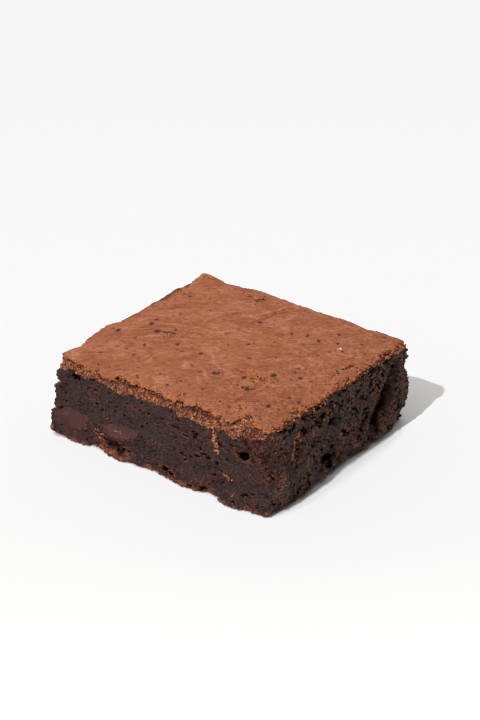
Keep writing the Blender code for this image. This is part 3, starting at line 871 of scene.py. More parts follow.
baked = crumb.coats(
    CRUST_RUST,
    (crumbs.rise(0.40, 0.49), CRUST_TAN),
    (crumbs.rise(0.52, 0.62), CRUST_PALE),
    (hues.rise(0.54, 0.60) * 0.7, CRUST_PURPLE),
    ((1 - hues.rise(0.38, 0.45)) * 0.55, CRUST_RED),
    ((1 - broad_hues.rise(0.38, 0.50)) * 0.25, CRUST_PURPLE),
    (broad_hues.rise(0.50, 0.60) * crumbs.rise(0.46, 0.54) * 0.8, CRUST_PALE),
    (1 - crumbs.rise(0.365, 0.44), CRUST_DARK),
    (rust_mask * 0.65, CRUST_RUST),
)
over_table = crumb.towards((0.0, 0.0, 1.0)) + (mottle - 0.5) * 0.0022
low_baked = crumb.coats(
    LIP_RED,
    (crumbs.rise(0.36, 0.48), LIP_ORANGE),
    (crumbs.rise(0.53, 0.60) * 0.8, CRUST_TAN),
    # Darker along the lowest half-millimetre over the table: partly the dark baked underside, partly
    # painted contact shade
    ((1 - over_table.rise(0.00025, 0.0006)) * 0.9, CRUST_DARK),
)
# The crust's holes and the crack under the sheet are painted dark as shade
baked = crumb.coats(baked, (lip_mask, low_baked), (pit_shade_mask * 0.9, CRUST_PIT_SHADE))
crumb.bump(grain * 0.8 + flecks * 0.2, 0.2)
whole = crumb.mix(crust_mask.most(lip_mask * 0.9), cake, baked)
crumb_skin = piece("crumb", skin, crumb.done(whole, 0.65 + pit_shade_mask * 0.3, 0.07), {
    "crust": crust_share, "lip": lip_share, "cavity_shade": cavity_shade, "rust": rusty,
    "pit_rim": np.clip(pit_rim, 0, 1), "smear": smear, "torn": torn_share,
})
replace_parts(crumb_skin, "brownie")

# The two chunks of chocolate: sliced flush by the knife, so their cut faces are smooth and a
# little proud of the cake they sit in. Each follows its own solid, with a satin, smeared surface.
CHUNK_DOME = 0.09
CHUNK_FRONT = -26.0

chocolate = Finish("chocolate")
dust = chocolate.noise(0.4, 2.0).rise(0.66, 0.72)
chocolate.bump(chocolate.noise(0.42, 3.0, 0.65), 0.06)
dusted = chocolate.mix(dust * 0.5, chocolate_tone(chocolate), CRUMB_BROWN)
chocolate_material = chocolate.done(dusted, 0.6, 0.07)
for node in ("chocolate_chunk_large", "chocolate_chunk_small"):
    solid = solids_of(node)
    form = BVHTree.FromBMesh(solid)
    low = Vector(min(vertex.co[axis] for vertex in solid.verts) for axis in range(3))
    high = Vector(max(vertex.co[axis] for vertex in solid.verts) for axis in range(3))
    solid.free()
    middle, size = (low + high) / 2, high - low
    chunk = bmesh.new()
    bmesh.ops.create_icosphere(chunk, subdivisions=6, radius=1)
    for vertex in chunk.verts:
        way = Vector(vertex.co[axis] * size[axis] for axis in range(3))
        vertex.co, *_ = form.ray_cast(middle + way * 2, -way)
    smooth(chunk, chunk.verts)
    for vertex in chunk.verts:
        share = math.hypot((vertex.co.x - middle.x) / size.x, (vertex.co.z - middle.z) / size.z) * 2
        if vertex.co.y < CHUNK_FRONT:
            vertex.co.y += CHUNK_DOME * share ** 2
    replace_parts(piece(node + "_cut", chunk, chocolate_material), node)

# The base crust: the thin baked skin that the tray left under the brownie. It lies flat on the
# table in the middle, has small dimples, and meets the base lip at its edge.
BASE_STEP = 0.5
BASE_INSET = 2.2
BASE_DIMPLE = 0.45
BASE_FADE = 0.76
BASE_THICK = 0.3
# How far the sheet is lifted off the table, and its edge above that
BASE_LIFT, BASE_EDGE_LIFT = 0.32, 0.35
BASE_DARK = (0.085, 0.030, 0.018)


def outline_share(x, y):
    """How far round the block's outline a point of it is."""
    edge_x, edge_y = abs(abs(x) - BLOCK_HALF_X), abs(abs(y) - BLOCK_HALF_Y)
    if edge_y <= edge_x:
        at = x + BLOCK_HALF_X if y < 0 else 3 * BLOCK_HALF_X + 2 * BLOCK_HALF_Y - x
    else:
        at = 2 * BLOCK_HALF_X + y + BLOCK_HALF_Y
        if x < 0:
            at = 4 * BLOCK_HALF_X + 3 * BLOCK_HALF_Y - y
    return at / (4 * (BLOCK_HALF_X + BLOCK_HALF_Y))


def sheet_plan(place, fade_from, rim_shift):
    """A point of a square grid moved to its place in a sheet with a free edge, how far it has gone
    over to that edge, and its column of the skin."""
    x, y = place.x * BLOCK_HALF_X, place.y * BLOCK_HALF_Y
    share = max(abs(x) / BLOCK_HALF_X, abs(y) / BLOCK_HALF_Y, 1e-3)
    rim_x, rim_y = x / share, y / share
    column = columns[round(outline_share(rim_x, rim_y) * skin_columns) % skin_columns]
    at, _ = plan(x, y)
    fade = smoothstep((share - fade_from) / (1 - fade_from))
    return at + column.out * rim_shift(column, rim_x, rim_y) * fade, fade, column


def thicken(made, thick):
    """Give a sheet its thickness, behind its faces."""
    thickness = made.modifiers.new("thickness", "SOLIDIFY")
    thickness.thickness = thick * MM
    thickness.offset = -1
    thickness.use_even_offset = False


def flat_sheet(step):
    shape = bmesh.new()
    across, deep = round(2 * BLOCK_HALF_X / step), round(2 * BLOCK_HALF_Y / step)
    bmesh.ops.create_grid(shape, x_segments=across, y_segments=deep, size=1)
    return shape


base = flat_sheet(BASE_STEP)
for vertex in base.verts:
    at, fade, _ = sheet_plan(vertex.co, BASE_FADE, lambda column, x, y: column.low - BASE_INSET)
    at.z = first_known(solid_height(at, False), 0.3) if fade > 0.2 else 0.0
    vertex.co = at
smooth(base, base.verts)
for vertex in base.verts:
    at = vertex.co.copy()
    dimple = smoothstep(0.9 * noise.noise(at / 2.3) + 0.6 * noise.noise(at / 0.9) + 0.2)
    at.z = max(at.z, 0.0) + BASE_DIMPLE * dimple + BASE_LIFT
    if vertex.is_boundary:
        at.z += BASE_EDGE_LIFT
    vertex.co = at
bmesh.ops.reverse_faces(base, faces=base.faces)
base.normal_update()

underside = Finish("base_crust")
baked_spots = underside.noise(1.6, 4.0, 0.6)
fine_spots = underside.noise(0.5, 3.0, 0.6)
under = underside.coats(
    CRUST_RUST,
    (baked_spots.rise(0.35, 0.65), BASE_DARK),
    (fine_spots.rise(0.52, 0.70) * 0.7, CRUST_TAN),
)
underside.bump(baked_spots * 0.5 + fine_spots * 0.5, 0.15)
base_crust = piece("base_crust", base, underside.done(under, 0.7, 0.15))
thicken(base_crust, BASE_THICK)

# The top crust: a thin dry sheet, matt as cocoa, that baked onto the cake. It is wrinkled in low
# folds, pricked by burst bubbles, and its edge is torn back where the brownie was cut.
SHEET_STEP = 0.31
SHEET_THICK = 0.3
SHEET_FADE = 0.78
SHEET_OVERHANG = 0.2
# How many columns of the skin on either side the rim is evened out over
RIM_EVEN = 9
# The back edge lies beyond this y. It is evener than the others.
BACK_EDGE = 31
# Where the edge is chipped, as a middle on the sharp outline (x, y), half a width and a depth
CHIPS = (
    ((25.4, -31.3), 3.0, 2.0), ((11.0, -31.3), 2.6, 0.5), ((6.0, -31.3), 1.6, 0.4),
    ((30.4, -31.3), 1.6, 0.4), ((-35.2, -31.3), 2.2, 0.7), ((35.2, 31.3), 2.2, 1.2),
    ((35.2, -23.0), 3.0, 0.7), ((35.2, -14.5), 1.2, 0.5), ((35.2, 3.0), 2.2, 0.8), ((35.2, 9.0), 2.4, 0.5),
    ((35.2, 17.0), 2.0, 0.4), ((20.0, 31.3), 3.0, 0.5), ((-20.0, 31.3), 3.0, 0.4),
    ((-35.2, 22.0), 2.6, 0.5), ((-35.2, 12.0), 2.2, 0.5), ((-35.2, 4.0), 1.6, 0.4),
    ((-35.2, -4.0), 2.2, 0.5), ((-35.2, -15.0), 1.4, 0.4),
)
# Where the sheet's left edge baked dark, as a middle y, half a length and a width
BURNT = ((13.6, 7.0, 2.3), (23.3, 1.2, 2.0), (3.2, 1.3, 1.9), (-6.0, 1.5, 1.6), (-18.5, 1.6, 1.6))
# Burst bubbles, as (x, y), half a length, half a width and a depth
PRICKS = (
    ((-31.1, -11.4), 0.7, 1.1, 0.4), ((-33.2, -11.0), 0.5, 0.6, 0.2), ((-22.3, -5.4), 1.1, 1.0, 0.4),
    ((-20.1, -4.5), 1.2, 0.6, 0.3), ((-18.9, -4.0), 1.0, 0.45, 0.3), ((-17.8, -3.8), 0.9, 0.5, 0.3),
    ((-18.7, -2.1), 0.4, 0.6, 0.2), ((-26.6, -0.5), 0.6, 0.6, 0.3), ((-26.2, -3.2), 0.7, 0.9, 0.3),
    ((-13.2, -8.0), 0.55, 1.0, 0.4), ((-4.9, -8.6), 0.7, 0.8, 0.4), ((-9.6, -10.8), 0.5, 0.5, 0.2),
    ((-18.2, -20.2), 0.4, 0.6, 0.2), ((-26.3, -24.1), 0.8, 0.6, 0.2), ((-20.0, -13.5), 0.5, 0.7, 0.25),
    ((-24.2, -12.3), 0.4, 0.7, 0.2), ((2.0, 2.8), 0.7, 0.7, 0.3), ((3.1, 4.0), 0.4, 0.6, 0.2),
    ((-3.7, 15.7), 0.7, 1.0, 0.4), ((-12.0, 25.5), 0.7, 1.0, 0.5), ((-11.1, 27.0), 0.9, 0.6, 0.3),
    ((-15.1, 26.4), 0.7, 0.5, 0.2), ((5.3, -15.3), 1.2, 1.0, 0.4), ((16.7, -17.1), 1.0, 1.1, 0.5),
    ((15.5, -17.1), 0.6, 0.6, 0.3), ((18.1, -16.5), 0.7, 0.8, 0.3), ((12.5, -12.9), 0.8, 0.8, 0.3),
    ((17.9, -7.5), 0.9, 0.9, 0.4), ((7.2, -3.7), 0.6, 0.6, 0.3), ((-0.8, -27.7), 0.5, 0.6, 0.3),
    ((0.8, -24.2), 0.4, 0.6, 0.2), ((-10.4, -28.2), 0.3, 0.8, 0.3), ((10.5, -11.0), 0.6, 0.6, 0.2),
    ((27.7, -14.3), 0.5, 0.8, 0.4), ((11.8, 3.3), 0.4, 0.6, 0.2), ((12.6, 0.8), 0.4, 0.6, 0.2),
    ((-28.5, 16.3), 0.5, 0.6, 0.2), ((-28.6, 10.0), 0.5, 0.6, 0.2), ((7.7, 14.8), 0.5, 0.7, 0.3),
    ((12.0, 16.2), 0.5, 0.9, 0.4), ((15.9, 15.6), 0.6, 0.9, 0.3), ((18.2, 22.1), 0.5, 0.7, 0.3),
    ((20.7, 17.6), 0.5, 0.8, 0.3), ((14.6, 4.7), 0.5, 0.7, 0.3), ((21.8, 12.3), 0.5, 0.6, 0.2),
    ((20.6, 8.6), 0.4, 0.6, 0.2), ((24.4, -4.5), 0.7, 0.9, 0.4), ((21.3, -2.8), 0.4, 0.6, 0.3),
    ((20.8, -0.7), 0.4, 0.6, 0.2), ((26.3, -20.9), 0.6, 0.9, 0.4), ((31.1, -14.8), 0.6, 0.8, 0.3),
    ((27.6, -16.8), 0.4, 0.6, 0.2), ((28.7, -27.8), 0.5, 0.7, 0.3), ((25.0, -28.2), 0.8, 0.7, 0.3),
    ((26.2, 20.8), 0.4, 0.6, 0.2), ((24.4, 14.5), 0.45, 0.6, 0.3),
)
PRICK_BEARING = math.radians(37)
SHEET_CURL = 0.25
SMALL_PRICKS = 480
FOLD_BEARING = math.radians(38)
# Creases of the dry sheet, as a path, half a width, a height and their painted highlight, below 0 painted
# shade
CREASES = (
    (((-22.8, -0.7), (-18.9, 1.2), (-14.2, 3.0), (-9.3, 2.9), (-7.0, 5.2), (-5.7, 7.5)), 0.7, 0.22, 0.8),
    (((-30.5, -10.7), (-28.2, -8.0), (-25.7, -5.5)), 0.6, 0.15, 0.5),
    (((-23.5, -12.0), (-22.2, -9.2), (-19.8, -7.1)), 0.9, 0.2, 0.9),
    (((-29.4, -25.0), (-25.6, -20.0), (-19.8, -19.2), (-15.0, -18.4)), 0.7, 0.14, 0.5),
    (((-5.4, -6.8), (-1.4, -8.1), (1.7, -11.2), (3.9, -13.0)), 1.0, 0.12, 0.5),
    (((4.5, -12.6), (7.8, -12.4)), 0.6, 0.25, 1.0),
    (((1.0, -15.8), (3.0, -17.0), (5.4, -19.3)), 0.5, 0.2, 0.9),
    (((-17.5, 11.3), (-13.1, 15.3), (-9.1, 21.0)), 0.5, 0.18, 0.7),
    (((-7.3, 16.8), (-4.8, 21.3), (-3.5, 25.2), (-1.7, 28.7), (0.0, 28.3)), 0.6, 0.35, 0.8),
    (((7.9, 9.1), (12.8, 9.1), (18.1, 9.3)), 0.4, 0.12, 0.6), (((13.4, 12.5), (18.8, 16.6)), 0.3, 0.1, 0.7),
    (((22.7, 12.3), (25.1, 13.4), (27.5, 13.3)), 0.5, 0.25, 0.7),
    (((-4.5, 3.4), (-1.1, 4.1), (0.9, 4.2), (5.7, 6.7)), 0.5, 0.16, 0.6),
    (((17.7, 3.2), (20.8, 6.2)), 0.4, 0.12, 0.6),
    (((25.3, -5.5), (26.7, -3.8), (27.0, -1.1), (30.0, 1.7), (31.9, 2.6)), 0.5, 0.25, 0.8),
    (((18.6, -16.7), (19.8, -15.1), (19.3, -11.8), (22.3, -12.0)), 0.6, 0.28, 0.8),
    (((15.1, -14.3), (17.0, -14.9)), 0.5, 0.15, 1.0),
    (((29.5, -9.0), (33.1, -9.8), (34.2, -9.6)), 0.5, 0.2, 0.7),
    (((18.4, -23.7), (18.4, -19.1)), 1.0, -0.2, -0.6), (((30.9, -23.8), (31.9, -20.6)), 0.6, -0.16, -0.7),
    (((-29.9, 5.2), (-24.2, 10.9)), 0.8, -0.12, -0.4),
    (((-5.1, 13.5), (-4.4, 16.7), (-2.6, 21.5), (-1.2, 24.8)), 0.6, -0.25, -0.7),
)
# Cracks in the sheet beside its torn right edge, each as a path
SHEET_CRACKS = (
    ((32.7, -20.2), (33.7, -18.8), (33.5, -16.6)), ((33.6, -23.5), (34.6, -20.9)),
    ((24.0, -30.4), (26.4, -27.8)), ((29.6, 7.0), (30.6, 10.2)), ((29.0, 2.0), (30.3, 4.4)),
)
CRACK_HALF = 0.28
# Where the sheet has flaked and shows its orange inside, as (x, y) and how far
FLAKED = (
    ((-17.5, -5.0), 2.2), ((9.2, -11.4), 2.2), ((11.8, -9.8), 2.4), ((14.6, -11.4), 2.4),
    ((17.4, -11.8), 2.6), ((19.4, -10.2), 1.8), ((-12.0, 26.4), 2.8), ((29.6, 8.2), 2.4),
    ((29.6, 2.9), 2.2), ((33.4, -2.6), 2.8), ((33.2, -18.0), 3.0), ((34.0, -10.0), 1.6),
    ((34.0, 14.0), 2.2), ((33.8, 20.0), 1.8), ((14.5, -26.8), 1.6), ((5.0, -29.0), 1.4),
    ((21.5, -26.4), 1.8), ((33.8, -25.0), 2.2), ((-32.6, 12.0), 1.6), ((-32.0, 14.6), 1.8),
    ((-32.2, 17.4), 1.8), ((-31.9, 29.8), 2.0), ((-28.2, 30.6), 1.8), ((-19.0, -6.6), 1.6),
)


def chip_depth(x, y):
    """How far the sheet's edge is torn back at a place on the sharp outline."""
    ragged = 0.1 if y > BACK_EDGE and x < 33 else 0.35
    depth = 0.15 + 0.40 * noise.noise(Vector((x, y, 3)) / 2.0)
    depth += ragged * noise.noise(Vector((x, y, 8)) / 0.7)
    for (chip_x, chip_y), half, deep in CHIPS:
        gap = math.hypot(x - chip_x, y - chip_y) / half
        depth += deep * smoothstep(1.6 - 1.4 * gap)
    if x > 34:
        place = Vector((x, y, 5))
        depth += 0.45 + 1.2 * max(0.0, noise.noise(place / 3.2)) + 0.5 * noise.noise(place / 1.1)
    return depth


rim_reach = np.array([column.high for column in columns])
even_reach = np.mean([np.roll(rim_reach, shift) for shift in range(-RIM_EVEN, RIM_EVEN + 1)], axis=0)
for column, reach in zip(columns, even_reach):
    column.even = max(float(reach), column.high - 0.3)


def sheet_rim(column, x, y):
    return column.even + SHEET_OVERHANG - chip_depth(x, y)


def streaks(point, bearing, long, wide, seed):
    """Noise drawn out along a bearing, from -1 to 1."""
    lengthwise, sideways = turned_by(bearing, point.x, point.y)
    return noise.noise(Vector((lengthwise / long, sideways / wide, seed)))


def sheet_relief(point):
    """Wrinkles of the dry sheet: how high, and how near a crest, from 0 to 1, which sets the crest's
    painted highlight.
    """
    bent = point + 1.6 * noise.noise_vector(point / 6.0)
    bend = FOLD_BEARING + 0.5 * noise.noise(point / 22)
    broad = streaks(bent, bend, 10.0, 3.4, 1)
    small = streaks(bent, bend + 0.15, 5.0, 1.3, 4)
    thin = 1 - 7 * abs(streaks(bent, bend - 0.1, 8.0, 2.6, 7))
    crest = max(0.0, thin) * smoothstep(2.0 * noise.noise(Vector((point.x, point.y, 20)) / 5) + 0.2)
    grain = noise.noise(point) + 0.8 * noise.noise(point / 0.55)
    return 0.34 * broad + 0.15 * small + 0.10 * crest + 0.05 * grain, crest


sheet = flat_sheet(SHEET_STEP)
for vertex in sheet.verts:
    at, fade, column = sheet_plan(vertex.co, SHEET_FADE, sheet_rim)
    inner = at - column.out * 0.9 * fade
    at.z = first_known(solid_height(inner, True), column.rim)
    vertex.co = at
smooth(sheet, [vertex for vertex in sheet.verts if not vertex.is_boundary], True)
sheet_at = np.array([vertex.co[:] for vertex in sheet.verts])
rim_places = [vertex.co.copy() for vertex in sheet.verts if vertex.is_boundary]
rim_tree = tree_of(rim_places)
flat_tree = tree_of([(place[0], place[1], 0) for place in sheet_at])
high, crest_highlight_and_shade, speck, flaked, cracks_and_shade, burnt = np.zeros((6, len(sheet_at)))
for index, place in enumerate(sheet_at):
    flat = Vector((place[0], place[1], 0))
    high[index], crest_highlight_and_shade[index] = sheet_relief(flat)
    for (x, y), reach in FLAKED:
        gap = math.hypot(flat.x - x - block_middle.x, flat.y - y - block_middle.y) / reach
        if gap < 1:
            flaked[index] = max(flaked[index], smoothstep(1.3 - 1.3 * gap + 0.6 * noise.noise(flat / 0.7)))
    high[index] -= 0.22 * flaked[index] * (0.4 + noise.noise(flat / 0.6))


def beside(path, reach):
    """The sheet's points near a path across the block, each with its share of the reach."""
    nearest = {}
    for start, end in zip(path, path[1:]):
        steps = math.ceil(math.hypot(end[0] - start[0], end[1] - start[1]) / 0.25)
        for step in range(steps + 1):
            at = Vector((*start, 0)).lerp(Vector((*end, 0)), step / steps) + block_middle
            at += 0.5 * noise.noise_vector(at / 2.5)
            at.z = 0
            for _, index, gap in flat_tree.find_range(at, reach):
                nearest[index] = min(nearest.get(index, 1.0), gap / reach)
    return nearest.items()


for path, half_wide, tall, painted_light in CREASES:
    for index, gap in beside(path, half_wide * 1.6):
        patchy = 0.8 + 0.5 * noise.noise(Vector(sheet_at[index]) / 1.5)
        high[index] += tall * patchy * smoothstep(1 - gap)
        # Painted highlight along the crease, or painted shade in a dark fold
        crest_highlight_and_shade[index] += 1.6 * painted_light * patchy * smoothstep(1.1 - 1.5 * gap)
for path in SHEET_CRACKS:
    for index, gap in beside(path, CRACK_HALF * 2):
        cracks_and_shade[index] = max(cracks_and_shade[index], smoothstep(1.6 - 1.8 * gap))
high -= 0.5 * cracks_and_shade
pricks = []
for (x, y), half_long, half_wide, deep in PRICKS:
    middle = (x + block_middle.x, y + block_middle.y)
    pricks.append((middle, half_long, half_wide, deep, PRICK_BEARING, min(1.0, 0.45 + deep * 1.4)))
for _ in range(SMALL_PRICKS):
    middle = (-33 + 67 * draw.random() ** 0.6, -29 + 60 * draw.random() ** 1.3)
    long = 0.18 + 0.25 * draw.random() ** 2
    deep = 0.1 + 0.3 * (long - 0.2)
    bearing = PRICK_BEARING + draw.uniform(-0.6, 0.6)
    pricks.append((middle, long, long * 1.2, deep, bearing, draw.uniform(0.2, 0.75)))
for (x, y), half_long, half_wide, deep, bearing, shade in pricks:
    for place, index, _ in flat_tree.find_range((x, y, 0), half_long * 1.6 + 0.3):
        lengthwise, sideways = turned_by(bearing, place.x - x, place.y - y)
        gap = math.hypot(lengthwise / half_long, sideways / half_wide)
        gap = gap + 0.5 * noise.noise(place * 1.7) + 0.35 * noise.noise(place * 4.1)
        if gap < 1.5:
            speck[index] = max(speck[index], shade * smoothstep(2.1 - 1.8 * gap))
            high[index] += 0.12 * deep * smoothstep(1 - abs(gap - 1.2) / 0.3)
        if gap < 1:
            high[index] = min(high[index], -deep * (1 - gap * gap))
edge_share = np.array([smoothstep(1 - rim_tree.find(place)[2] / 1.2) for place in sheet_at])
for y, half_long, wide in BURNT:
    for index in np.flatnonzero((sheet_at[:, 0] < -30) & (np.abs(sheet_at[:, 1] - y) < half_long + 1)):
        place = Vector(sheet_at[index])
        inwards = rim_tree.find(place)[2] + 0.5 * noise.noise(place / 1.1)
        ends = smoothstep((half_long + 0.5 - abs(place.y - y)) / 1.0)
        burnt[index] = max(burnt[index], ends * smoothstep((wide - inwards) / 0.35 + 0.5))
sheet_at[:, 2] += high * (1 - 0.4 * edge_share) - SHEET_CURL * edge_share ** 1.5
for vertex, place in zip(sheet.verts, sheet_at):
    vertex.co = place

# The pale tone serves as the sheet's paler patches and its painted highlights; the deep tone as its darker
# patches and the painted shade in folds
SHEET_MAIN, SHEET_PALE_AND_HIGHLIGHT = (0.366, 0.112, 0.0438), (0.550, 0.228, 0.125)
SHEET_DEEP_TONE_AND_SHADE, SHEET_INSIDE = (0.228, 0.058, 0.0220), (0.56, 0.178, 0.052)
SHEET_SPECK, SHEET_PRICK = (0.050, 0.030, 0.030), (0.115, 0.034, 0.019)

crust = Finish("top_crust")


def folded(along_them, across_them, bend=0.0, turn=0.0):
    """Places for noise that runs with the sheet's folds."""
    return crust.stretched(along_them, across_them, FOLD_BEARING + turn, bend)


drift = crust.noise(7.0, 3.0)
cloud = crust.noise(1.2, 4.0, 0.7, folded(4.0, 1.0, 6.0))
drawn = crust.noise(5.0, 1.0, 0.5, folded(1.6, 1.0)).rise(0.40, 0.62)
folds = crust.noise(2.1, 2.0, 0.5, folded(3.4, 1.0, 9.0)).rise(0.50, 0.66)
fine = crust.noise(0.62, 3.0, 0.7, folded(1.9, 0.8, 3.0))
glints = crust.noise(0.42, 2.0, 0.7, folded(2.2, 1.2, 2.0)).rise(0.55, 0.65)
# Thin wrinkle lines that catch the light, painted as pale highlights
highlight_lines = crust.lines(6.0, 0.03, 1.0, folded(3.0, 1.0, 6.0)) * crust.noise(5.0).rise(0.42, 0.56)
short_highlight_lines = crust.lines(3.0, 0.035, 0.8, folded(3.4, 1.0, 4.0, 0.1))
highlight_lines = highlight_lines.most(short_highlight_lines * crust.noise(3.1, 1.0).rise(0.50, 0.60))
cross_highlight_lines = crust.lines(4.5, 0.018, 1.4, crust.stretched(1.3, 1.0, -0.4))
cross_highlight_lines = cross_highlight_lines * crust.noise(4.0, 1.0).rise(0.54, 0.62)
crest_light_and_shade_mask = crust.attribute("crest")
edge_mask = crust.attribute("edge")
flaked_mask = crust.attribute("flaked")
spot = crust.attribute("speck")
browned = crust.towards((1.0, -0.3, 0.0)).rise(-0.01, 0.045)
# Paler in patches of the grain and the drift, and along the folds as painted light
paler = fine.rise(0.44, 0.60) * (0.10 + drawn * 0.24) + drift.rise(0.5, 0.7) * 0.07 + folds * 0.14
freckles = crust.noise(0.6, 3.0, 0.7, folded(1.5, 1.0)).rise(0.58, 0.64) * (0.10 + browned)
bits = crust.noise(0.8, 3.0, 0.65)
tone = crust.coats(
    crust.mix(cloud.rise(0.36, 0.56) * 0.6 + drift.rise(0.35, 0.65) * 0.4, SHEET_DEEP_TONE_AND_SHADE, SHEET_MAIN),
    (paler.least(0.6), SHEET_PALE_AND_HIGHLIGHT),
    # Thin wrinkle lines and crests painted pale as highlights
    ((highlight_lines * 0.48 + cross_highlight_lines * 0.35 + crest_light_and_shade_mask.most(0) * 0.5).least(0.9), SHEET_PALE_AND_HIGHLIGHT),
    # Dark folds painted deep as shade
    ((crest_light_and_shade_mask * -1).most(0).least(0.7), SHEET_DEEP_TONE_AND_SHADE),
    ((1 - fine.rise(0.36, 0.46)) * (0.20 + drawn * 0.3 + browned * 0.55), SHEET_DEEP_TONE_AND_SHADE),
    # Small painted highlights, more towards the front right
    (glints * (0.05 + browned * 0.50), SHEET_PALE_AND_HIGHLIGHT),
    (browned * 0.14, SHEET_DEEP_TONE_AND_SHADE),
    (freckles.least(0.8), SHEET_PRICK),
    (((edge_mask * 0.7 + flaked_mask * 1.2) * bits.rise(0.38, 0.50) * 0.8).least(0.9), SHEET_INSIDE),
    (((edge_mask + flaked_mask) * (1 - bits.rise(0.38, 0.46)) * 0.8).least(0.9), CRUST_RUST),
    (((edge_mask * 0.8 + flaked_mask * 0.9) * bits.rise(0.56, 0.61)).least(0.9), CRUST_DARK),
    (edge_mask.rise(0.80, 0.97) * crust.noise(0.9, 2.0).rise(0.42, 0.56) * 0.7, SHEET_INSIDE),
    (spot.rise(0.05, 0.6) * 0.85, SHEET_PRICK),
    (spot.rise(0.55, 0.9) * 0.9, SHEET_SPECK),
    (crust.attribute("burnt") * 0.85, crust.mix(bits.rise(0.42, 0.58), CRUST_DARK, CRUST_RUST)),
    # Cracks in the sheet painted black as shade
    (crust.attribute("cracks_and_shade"), CRUMB_PAINTED_SHADE),
)
crust.bump(cloud * 0.4 + fine * 0.25 + folds * 0.4 + highlight_lines * 0.2 + cross_highlight_lines * 0.1, 0.3)
top_crust = piece("top_crust", sheet, crust.done(tone, 0.62 + fine * 0.15, 0.2), {
    "crest": crest_highlight_and_shade, "speck": speck, "edge": edge_share, "flaked": flaked, "cracks_and_shade": cracks_and_shade,
    "burnt": burnt,
})
thicken(top_crust, SHEET_THICK)

# The crumbs: grains of crust that the knife broke along the rim, the same in the base lip, dark
# clumps on the torn sides, red-brown specks on the walls, and thin flakes of the sheet's edge.
RIM_GRAINS, LIP_GRAINS, EDGE_GRAINS = 2400, 1600, 2100
CLUMP_GRAINS, RED_GRAINS, FLAKES = 4200, 1100, 260
# Crumbs are made a handful at a time, because one large mesh grows slowly
HANDFUL = 40
UPRIGHT = Vector((0, 0, 1))
CLUMP_EMBER = (0.30, 0.100, 0.048)
# Trails of orange flakes on each side, as a path, how many and the least and most radius
TRAILS = {
    "front": (
        (((17.9, 19.6), (18.2, 18.2), (18.9, 17.2), (18.3, 15.8), (19.4, 14.6), (19.0, 12.4)), 62,
         (0.16, 0.46)),
        (((22.4, 7.4), (23.2, 6.6), (22.6, 6.0)), 10, (0.15, 0.35)),
        (((25.1, 3.3), (25.4, 2.8)), 4, (0.2, 0.35)),
        (((-14.6, 7.4), (-13.4, 7.6), (-12.0, 7.6)), 12, (0.16, 0.3)),
        (((-16.0, 5.8), (-12.0, 6.0), (-8.0, 6.8)), 16, (0.08, 0.2)),
        (((-19.4, 4.6), (-18.6, 5.1)), 5, (0.25, 0.4)),
        (((-25.0, 8.2), (-24.4, 6.6), (-24.8, 4.6), (-27.0, 3.6)), 14, (0.08, 0.2)),
        (((-20.8, 6.0), (-21.2, 4.8), (-20.4, 3.6), (-19.2, 2.6)), 26, (0.1, 0.3)),
    ),
    "right": (
        (((-18.3, 18.9), (-17.7, 17.4), (-17.3, 16.0)), 60, (0.22, 0.46)),
        (((-19.3, 18.4), (-19.7, 16.4), (-20.1, 14.4)), 76, (0.22, 0.48)),
        (((-20.9, 14.2), (-21.6, 12.6)), 30, (0.22, 0.44)),
        (((-5.2, 20.6), (-3.4, 19.8), (-3.0, 19.0)), 12, (0.2, 0.4)),
        (((-13.5, 23.0), (-11.0, 22.8)), 10, (0.15, 0.35)), (((4.8, 11.6), (5.2, 10.6)), 5, (0.15, 0.3)),
    ),
}
CORNER_CRUMB = ((-34.85, -32.35, 2.6), 1.0)
# Dark crumbs of torn cake that stand up behind the left edge of the sheet, as (y, how many)
FRINGE = (
    (-27.0, 12), (-20.0, 16), (-12.0, 12), (-4.0, 16), (3.0, 14), (7.0, 14), (10.0, 16), (13.0, 16),
    (16.0, 16), (19.0, 16), (23.3, 10),
)


def crumbs_at(rows):
    """Irregular crumbs, each given as a middle, a way out, a radius, a flatness and a tone."""
    whole = bmesh.new()
    whole.verts.layers.float.new("tone")
    handful_mesh = bpy.data.meshes.new("handful")
    for start in range(0, len(rows), HANDFUL):
        handful = bmesh.new()
        tone = handful.verts.layers.float.new("tone")
        for middle, out, radius, flatness, shade in rows[start:start + HANDFUL]:
            spin = Matrix.Rotation(draw.uniform(0, math.tau), 4, "Z")
            turn = out.to_track_quat("Z", "Y").to_matrix().to_4x4() @ spin
            sides = (radius * draw.uniform(0.8, 1.4), radius * draw.uniform(0.6, 1.0), radius * flatness, 1)
            place = Matrix.Translation(middle) @ turn @ Matrix.Diagonal(sides)
            made = bmesh.ops.create_icosphere(handful, subdivisions=1, radius=1, matrix=place)
            for vertex in made["verts"]:
                vertex.co += (vertex.co - middle) * draw.uniform(-0.45, 0.3)
                vertex[tone] = shade
        handful.to_mesh(handful_mesh)
        handful.free()
        whole.from_mesh(handful_mesh)
    bpy.data.meshes.remove(handful_mesh)
    return whole


def picked(mask, count, power=1.0):
    """Places drawn where a mask is high."""
    weights = np.clip(mask, 0, None) ** power
    heap = np.cumsum(weights)
    return [int(np.searchsorted(heap, draw.random() * heap[-1])) for _ in range(count)]


def on_skin(index, lift):
    out = Vector(shaped_out[index])
    return Vector(shaped[index]) + out * lift, out


height = shaped[:, 2]
facing_front = np.clip(-shaped_out[:, 1], 0, 1)
facing_right = np.clip(shaped_out[:, 0], 0, 1)
on_wall = (height > 0.8) & (height < 24.3) & (shaped_out[:, 2] > -0.8)

